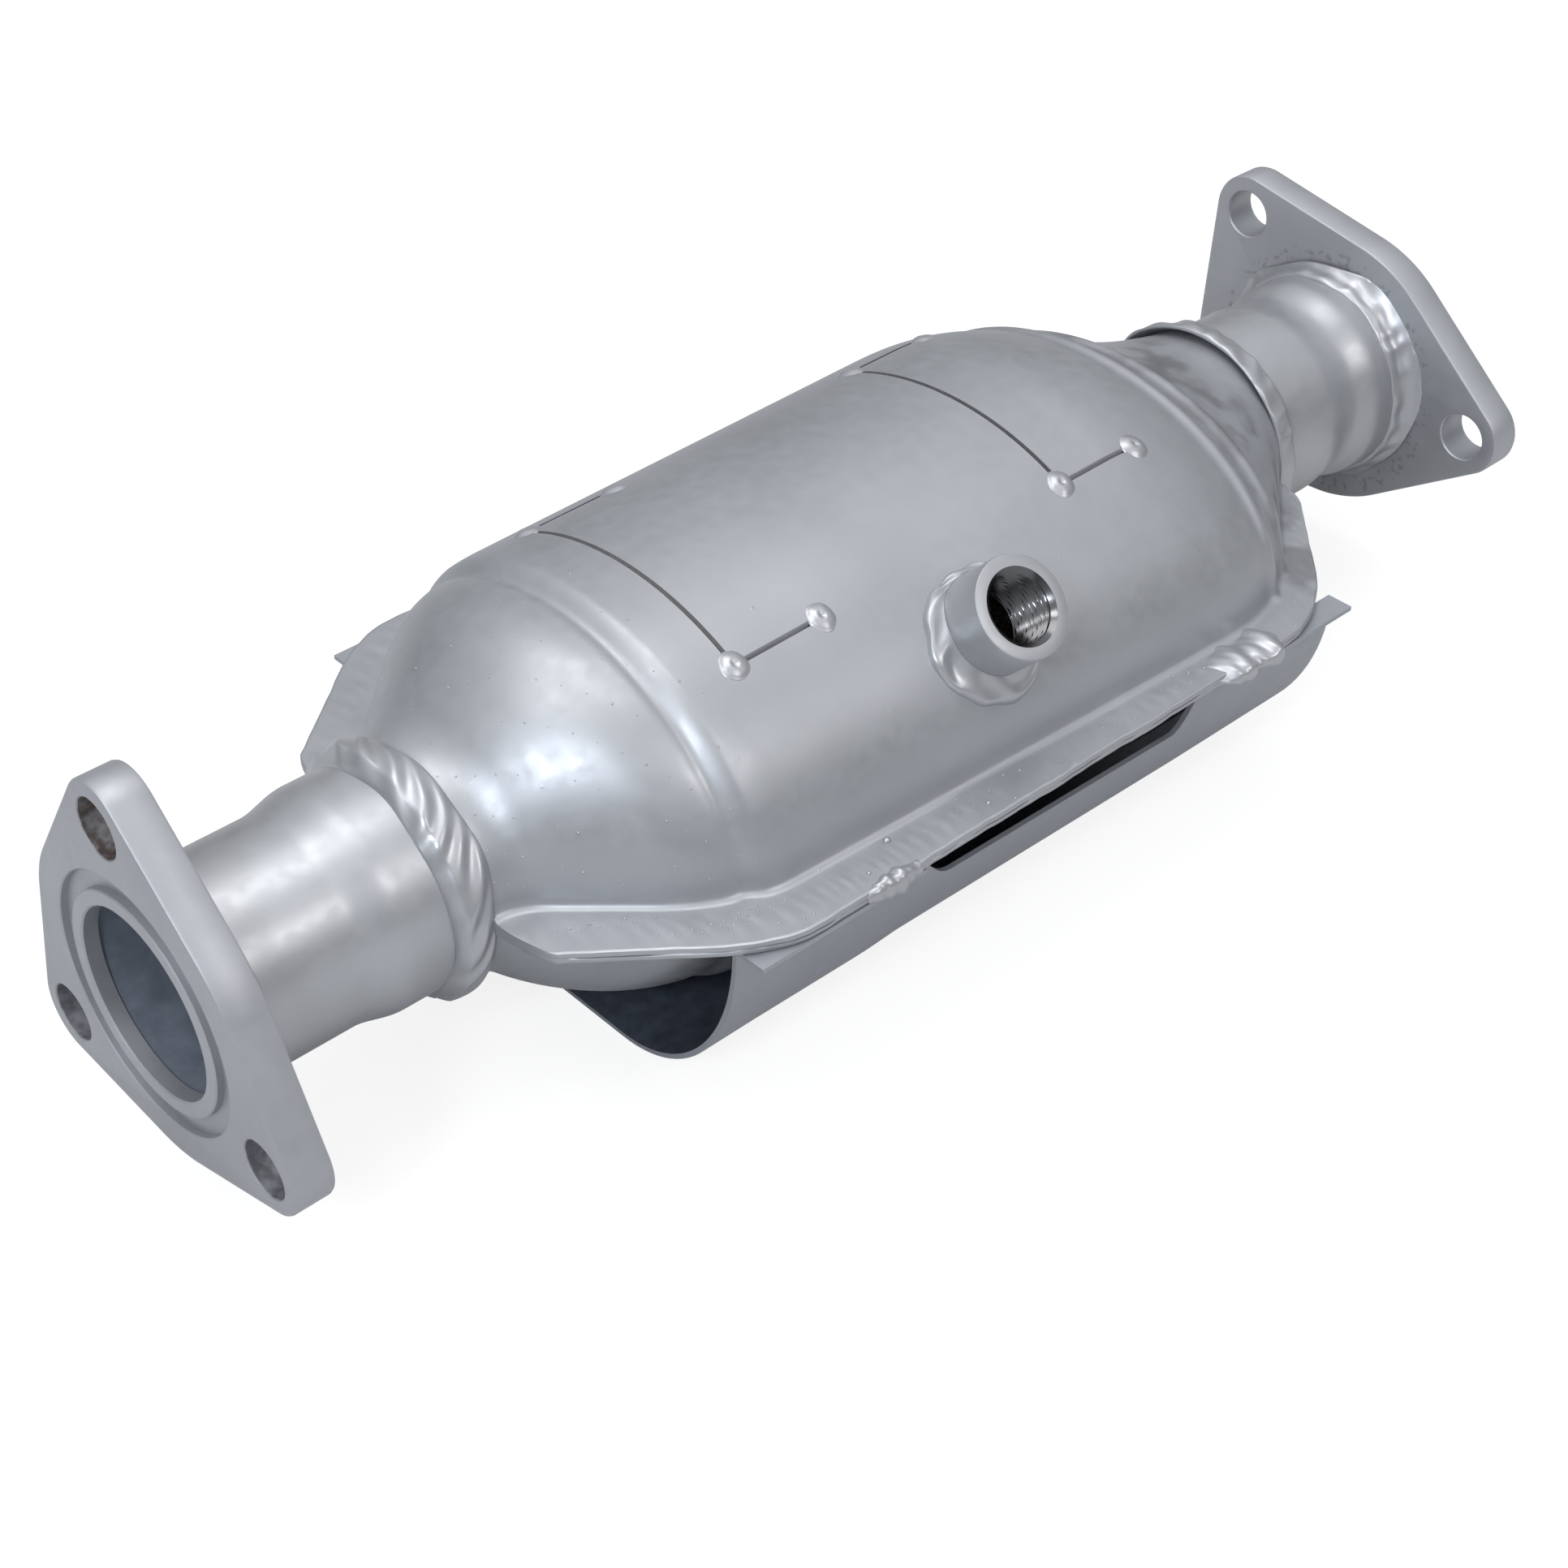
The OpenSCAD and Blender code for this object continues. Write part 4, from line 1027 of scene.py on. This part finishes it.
def body_spot(x, t):
    """Point and normal on the upper half at an angle from the near side."""
    hw, hh = float(half_width(x)), float(half_height(x))
    step = 0.5
    grow = (float(half_height(x + step)) - float(half_height(x - step))) / (2 * step)
    normal = np.array([-grow, -math.cos(t) / hw * hh, math.sin(t)])
    return np.array([x, -hw * math.cos(t), hh * math.sin(t)]), normal / np.linalg.norm(normal)


# %% Scatter the drops
SPREAD_A, SPREAD_B, SPREAD_C = 0.618034, 0.754877, 0.5698


def even_spread(count):
    """Three numbers from 0 to 1 for each drop, spread evenly without a pattern."""
    return [((k * SPREAD_A) % 1, (k * SPREAD_B) % 1, (k * SPREAD_C) % 1) for k in range(count)]


def build_drops():
    balls = []

    def on_flange(x, y, lift, r):
        balls.append(drop((x, y, SHEET + lift), (0.0, 0.0, 1.0), r))

    for x, y, r in ((149.8, -67.5, 0.95), (131.6, -64.6, 0.5), (139.0, -72.9, 0.55), (176.0, -73.6, 0.6)):
        on_flange(x, y, 0.1, r)
    for a, b, c in even_spread(46):
        x = X0 + 14 + 46 * a
        y = -(float(half_width(x)) + 4 + 9 * b)
        if -y < seam_reach_at(x) - 1.5:
            on_flange(x, y, 0.05, 0.22 + 0.16 * c)
    for a, b, c in even_spread(90):
        spot, normal = body_spot(X0 + 9 + 52 * a, 0.12 + 1.9 * b**1.3)
        balls.append(drop(spot, normal, 0.16 + 0.2 * c**3))
    for a, b, c in even_spread(60):
        x = X0 + 66 + 190 * a
        y = -(67.5 + 9 * b)
        if -y < seam_reach_at(x) - 1.0 and -y > float(half_width(x)) + 2.5:
            on_flange(x, y, 0.05, 0.18 + 0.22 * c**2)
    one = grid_faces(7, 10, close_cols=True)
    faces = np.concatenate([one + n * len(ball) for n, ball in enumerate(balls)]).tolist()
    return add_piece("spatter_drops", np.concatenate(balls), faces, "weld_paint", None, 80)


build_drops()

# %% [markdown]
# ## Paint
# One coat of aluminium heat paint covers everything. It is neither bare metal nor plain
# grey: fine flakes give it a broad soft gleam, so it is mixed as a mostly metallic
# surface with a high roughness. A faint cloudiness varies its tone, an orange-peel bump
# breaks up the gleam, and sparse nibs stand for spatter that the paint has covered.
# Node trees are made in code by linking many small nodes, so a few short helpers come
# first.

# %% Helpers for node trees
class Tree:
    """The node tree of a material or a world, with short ways to add nodes."""

    def __init__(self, owner):
        owner.use_nodes = True
        self.nodes = owner.node_tree.nodes
        self.links = owner.node_tree.links

    def add(self, kind, **values):
        """A new node; values are numbers or colours for its inputs, or links from other nodes."""
        node = self.nodes.new("ShaderNode" + kind)
        for name, value in values.items():
            self.feed(node.inputs[name], value)
        return node

    def feed(self, socket, value):
        if isinstance(value, (int, float, tuple)):
            socket.default_value = value
        else:
            self.links.new(value, socket)

    def maths(self, operation, a, b=None, clamp=False):
        node = self.add("Math")
        node.operation = operation
        node.use_clamp = clamp
        for socket, value in zip(node.inputs, (a, b)):
            if value is not None:
                self.feed(socket, value)
        return node.outputs[0]

    def times(self, a, b):
        return self.maths("MULTIPLY", a, b)

    def distance(self, a, b):
        return self.maths("SQRT", self.maths("ADD", self.times(a, a), self.times(b, b)))

    def remap(self, value, low, high, to_low, to_high):
        ends = {"From Min": low, "From Max": high, "To Min": to_low, "To Max": to_high}
        return self.add("MapRange", Value=value, **ends).outputs["Result"]

    def band(self, value, centre, half):
        """1 near the centre, falling to 0 at half a band's width from it."""
        away = self.maths("ABSOLUTE", self.maths("SUBTRACT", value, centre))
        return self.remap(away, half * 0.5, half, 1.0, 0.0)

    def split(self, place):
        return self.add("SeparateXYZ", Vector=place).outputs

    def blend(self, share, a, b):
        """Mixes two colours, each a tuple or another node's output."""
        node = self.add("Mix", Factor=share)
        node.data_type = "RGBA"
        for name, value in (("A", a), ("B", b)):
            socket = [s for s in node.inputs if s.name == name and s.type == "RGBA"][0]
            self.feed(socket, (*value, 1) if isinstance(value, tuple) else value)
        return [s for s in node.outputs if s.type == "RGBA"][0]

    def by_ray(self, out, unseen, seen):
        """Shows one shader to the camera, also through clear things, and another to the rest."""
        path = self.add("LightPath").outputs
        mix = self.add("MixShader")
        share = self.maths("MAXIMUM", path["Is Camera Ray"], path["Is Transmission Ray"])
        for socket, value in zip(mix.inputs, (share, unseen.outputs[0], seen.outputs[0])):
            self.feed(socket, value)
        self.feed(out.inputs[0], mix.outputs[0])


# %% A finish: one material with its shader
class Finish(Tree):
    """A material, its shader, its colour and the place of each point on the piece in metres."""

    def __init__(self, name):
        self.material = bpy.data.materials.new(name)
        super().__init__(self.material)
        self.shader = self.nodes["Principled BSDF"]
        self.place = self.add("TexCoord").outputs["Object"]

    def noise(self, scale, detail):
        cloud = self.add("TexNoise", Vector=self.place, Scale=scale, Detail=detail, Roughness=0.55)
        return cloud.outputs["Fac"]

    def nibs(self, scale, share, size):
        """Small round bumps in a share of the cells of a Voronoi pattern."""
        cells = self.add("TexVoronoi", Vector=self.place, Scale=scale).outputs
        dome = self.remap(cells["Distance"], 0.0, size, 1.0, 0.0)
        chance = self.add("SeparateColor", Color=cells["Color"]).outputs[0]
        return self.times(self.times(dome, dome), self.maths("LESS_THAN", chance, share))

    def set_colour(self, colour):
        self.colour = colour
        self.feed(self.shader.inputs["Base Color"], colour)

    def set_gloss(self, roughness, metallic=0.0):
        self.feed(self.shader.inputs["Roughness"], roughness)
        self.feed(self.shader.inputs["Metallic"], metallic)

    def stain(self, mask, tone, depth):
        """Lays a stain over the colour where the mask is high."""
        self.set_colour(self.blend(self.maths("MULTIPLY", mask, depth, clamp=True), self.colour, tone))

    def relief(self, height, strength):
        bumps = self.add("Bump", Height=height, Strength=strength, Distance=0.0003)
        self.feed(self.shader.inputs["Normal"], bumps.outputs["Normal"])


# %% Silver paint, cut steel and dull stuff
def silver_paint(name, tone, roughness, peel, nib_share, metallic):
    paint = Finish(name)
    dark = tuple(c * 0.94 for c in tone)
    light = tuple(min(c * 1.04, 1.0) for c in tone)
    paint.set_colour(paint.blend(paint.remap(paint.noise(30, 3.0), 0.3, 0.7, 0.0, 1.0), dark, light))
    gleam = paint.remap(paint.noise(240, 2.0), 0.3, 0.7, roughness - 0.04, roughness + 0.06)
    paint.set_gloss(gleam, metallic)
    small = paint.times(paint.nibs(420, nib_share, 0.28), 0.5)
    large = paint.times(paint.nibs(130, nib_share * 0.5, 0.10), 1.2)
    fine = paint.times(paint.noise(1500, 2.0), 0.10)
    paint.relief(paint.maths("ADD", paint.maths("ADD", fine, small), large), peel)
    return paint


def thread_steel():
    steel = Finish("thread_steel")
    share = steel.remap(steel.noise(120, 2.0), 0.35, 0.65, 0.0, 1.0)
    steel.set_colour(steel.blend(share, (0.12, 0.12, 0.125), (0.15, 0.15, 0.155)))
    steel.set_gloss(0.18, 0.95)
    return steel


def dull_stuff(name, low, high, scale, roughness):
    stuff = Finish(name)
    grain = stuff.noise(scale, 4.0)
    stuff.set_colour(stuff.blend(stuff.remap(grain, 0.3, 0.7, 0.0, 1.0), low, high))
    stuff.set_gloss(roughness)
    stuff.relief(grain, 0.4)
    return stuff


# %% [markdown]
# ## Finishes of the pieces
# All pieces share the paint, but each took it in its own way: the stamped body is
# smooth, the plates keep a dull skin, and the welds are glossier because the paint
# flowed over them. Behind the rear rings the body is darker in blotches, and fine
# specks of soot lie round the weld on the outlet's plate. The inlet's top bolt hole is
# rusty, and the two lower ones are grey.

# %% Body paint, darker in blotches behind the rear rings
def body_paint():
    paint = silver_paint("body_paint", (0.415, 0.427, 0.45), 0.43, 0.28, 0.10, 0.72)
    x = paint.split(paint.place)[0]
    # Darker blotches in a band behind the rear rings.
    blotch = paint.remap(paint.noise(70, 2.0), 0.46, 0.60, 0.0, 1.0)
    paint.stain(paint.times(paint.band(x, 0.309, 0.020), blotch), (0.16, 0.16, 0.175), 0.55)
    return paint


# %% Flange paint with stained holes and specks of soot
RUST, GREY = (0.095, 0.058, 0.042), (0.17, 0.17, 0.185)


def flange_paint():
    paint = silver_paint("flange_paint", (0.43, 0.44, 0.465), 0.46, 0.30, 0.08, 0.66)
    x, y, z = paint.split(paint.place)
    inlet_only = paint.maths("LESS_THAN", x, (FLANGE_T + 2) * MM)
    speck = paint.remap(paint.noise(420, 4.0), 0.36, 0.60, 0.35, 1.0)
    for (hole_y, hole_z, hole_r), tone in zip(inlet_holes, (RUST, GREY, GREY)):
        dy, dz = (paint.maths("SUBTRACT", a, b * MM) for a, b in ((y, hole_y), (z, hole_z)))
        in_hole = paint.remap(paint.distance(dy, dz), hole_r * MM, (hole_r + 0.3) * MM, 1.0, 0.0)
        paint.stain(paint.times(paint.times(in_hole, speck), inlet_only), tone, 0.85)
    outlet_only = paint.maths("GREATER_THAN", x, (outlet_face - 2) * MM)
    soot = paint.times(paint.remap(paint.noise(480, 3.0), 0.56, 0.62, 0.0, 1.0), outlet_only)
    round_weld = paint.band(paint.distance(y, z), 0.0345, 0.0032)
    paint.stain(paint.times(soot, round_weld), (0.16, 0.155, 0.155), 0.40)
    return paint


# %% One finish for each slot
finishes = {
    "body_paint": body_paint(),
    "pipe_paint": silver_paint("pipe_paint", (0.45, 0.46, 0.48), 0.39, 0.28, 0.08, 0.72),
    "flange_paint": flange_paint(),
    "shield_paint": silver_paint("shield_paint", (0.38, 0.395, 0.425), 0.46, 0.20, 0.04, 0.66),
    "weld_paint": silver_paint("weld_paint", (0.46, 0.47, 0.49), 0.37, 0.26, 0.08, 0.74),
    "bung_steel": silver_paint("bung_paint", (0.46, 0.47, 0.49), 0.42, 0.15, 0.02, 0.70),
    "substrate": dull_stuff("substrate", (0.16, 0.14, 0.12), (0.26, 0.23, 0.19), 500, 0.85),
    "mat_fibre": dull_stuff("mat_fibre", (0.55, 0.53, 0.48), (0.72, 0.70, 0.64), 700, 0.9),
}
print("finishes:", sorted(finishes))

# %% [markdown]
# ## Putting the finishes on
# Every new piece and every solid that still shows takes its finish by the name of its
# slot. A few pieces carry a second one on their inner faces. The bung's bore is bare cut
# steel. The insides of the pipes and of the shield are painted shade: a dark bluish grey
# where little light reaches. A face belongs to the inside when its normal
# points back towards the middle of the part.

# %% Assign finishes
slot_of = {row["node"]: row["material_slot"] for row in frame["record"]["subparts"]}
for piece in list(bpy.context.scene.objects):
    if piece.type == "MESH":
        slot = piece.get("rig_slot") or slot_of.get(piece.get("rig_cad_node", ""))
        piece.data.materials.clear()
        piece.data.materials.append(finishes[slot].material)


# %% Second finishes on inner faces
def line_inside(piece, finish, is_inside):
    """Gives the faces that the test picks a second finish."""
    piece.data.materials.append(finish.material)
    inner = [face for face in piece.data.polygons if is_inside(face)]
    for face in inner:
        face.material_index = 1
    print(piece.name, "faces lined", len(inner))


def in_bore(face):
    away = Vector(face.center) - Vector(bung_foot * MM)
    radial = (away - away.dot(Vector(bung_out)) * Vector(bung_out)).length
    return radial < (MOUTH_R + 0.1) * MM


def in_tube(rise_mm):
    def test(face):
        y, z = face.center.y / MM, face.center.z / MM - rise_mm
        return y * face.normal.y + z * face.normal.z < -0.3 * math.hypot(y, z)
    return test


def in_trough(face):
    y, z = face.center.y / MM, face.center.z / MM
    return y * face.normal.y < -0.05 * abs(y) or (face.normal.z > 0.5 and z < -40)


# Painted shade: the shield's inner faces are a dark bluish grey, where shade falls inside the trough.
painted_shade_sheet = dull_stuff("painted_shade_sheet", (0.045, 0.055, 0.075), (0.085, 0.10, 0.13), 260, 0.5)
# Painted shade: the pipes' inner faces are a dark bluish grey, where shade falls inside the bore.
painted_shade_bore = dull_stuff("painted_shade_bore", (0.13, 0.15, 0.185), (0.19, 0.215, 0.255), 200, 0.42)
line_inside(bung_piece, thread_steel(), in_bore)
line_inside(inlet_tube, painted_shade_bore, in_tube(0.0))
line_inside(outlet_tube, painted_shade_bore, in_tube(OUTLET_RISE))
line_inside(shield, painted_shade_sheet, in_trough)

# %% [markdown]
# ## The studio
# The photograph has a pure white ground and broad soft light from above. The floor is
# pale and keeps a faint shadow: to the camera it adds a steady glow to its own diffuse
# light, so that its lit part comes out white. The sky is bright overhead and dimmer at
# eye level, which is what gives rounded metal its dark flanks.

# %% Floor
FLOOR_HALF = 3.0


def white_floor():
    material = bpy.data.materials.new("floor")
    tree = Tree(material)
    tree.nodes.clear()
    lit = tree.add("BsdfDiffuse", Color=(0.6, 0.6, 0.6, 1))
    faint = tree.add("BsdfDiffuse", Color=(0.24, 0.24, 0.24, 1))
    glow = tree.add("Emission", Strength=0.83)
    bright = tree.add("AddShader")
    tree.feed(bright.inputs[0], faint.outputs[0])
    tree.feed(bright.inputs[1], glow.outputs[0])
    tree.by_ray(tree.add("OutputMaterial"), lit, bright)
    return material


floor_mesh = bpy.data.meshes.new("floor")
corners = [(sx * FLOOR_HALF, sy * FLOOR_HALF, cad_low.z) for sx, sy in ((-1, -1), (1, -1), (1, 1), (-1, 1))]
floor_mesh.from_pydata(corners, [], [(0, 1, 2, 3)])
floor_mesh.materials.append(white_floor())
new_object("floor", floor_mesh)
print("floor height in mm:", round(cad_low.z / MM, 1))

# %% Sky
world = bpy.data.worlds.new("studio")
bpy.context.scene.world = world
sky = Tree(world)
sky.nodes.clear()
height = sky.split(sky.add("TexCoord").outputs["Generated"])[2]
level = sky.remap(height, 0.05, 0.80, 0.18, 0.88)
shade = sky.add("Background", Color=(0.95, 0.97, 1.0, 1), Strength=level)
white = sky.add("Background", Color=(1, 1, 1, 1))
sky.by_ray(sky.add("OutputWorld"), shade, white)
print("nodes in the sky:", len(sky.nodes))

# %% [markdown]
# ## Lamps
# Four soft boxes do the work: a broad one overhead, a small one above the front dome, a
# cooler one from the inlet's side that puts a bluish gleam on the dome, and a weak warm
# one from the near side. Area lamps are used because their size sets how soft the
# gleams are.

# %% Soft boxes
middle = Vector((0.2, 0.0, 0.0))


def soft_box(name, place, size, power, tint):
    data = bpy.data.lights.new(name, "AREA")
    data.shape = "RECTANGLE"
    data.size, data.size_y = size
    data.energy = power
    data.color = tint
    lamp = new_object(name, data)
    lamp.location = place
    lamp.rotation_euler = (middle - Vector(place)).to_track_quat("-Z", "Y").to_euler()
    print(name, "power in watts:", power)


soft_box("overhead", (0.3, 0.15, 1.3), (0.8, 0.6), 4.4, (1.0, 0.99, 0.98))
soft_box("above_dome", (-0.3, -0.05, 1.1), (0.22, 0.22), 1.3, (1.0, 1.0, 1.0))
soft_box("inlet_side", (-0.75, -0.45, 0.75), (0.20, 0.20), 5.0, (0.86, 0.92, 1.0))
soft_box("near_side", (0.45, -1.0, 0.85), (0.45, 0.35), 2.2, (1.0, 0.97, 0.95))

# %% [markdown]
# ## Closing the scene
# Colours are shown as they are written, with no filmic curve.

# %% Write the sizes and finish
bpy.context.scene.view_settings.view_transform = "Standard"
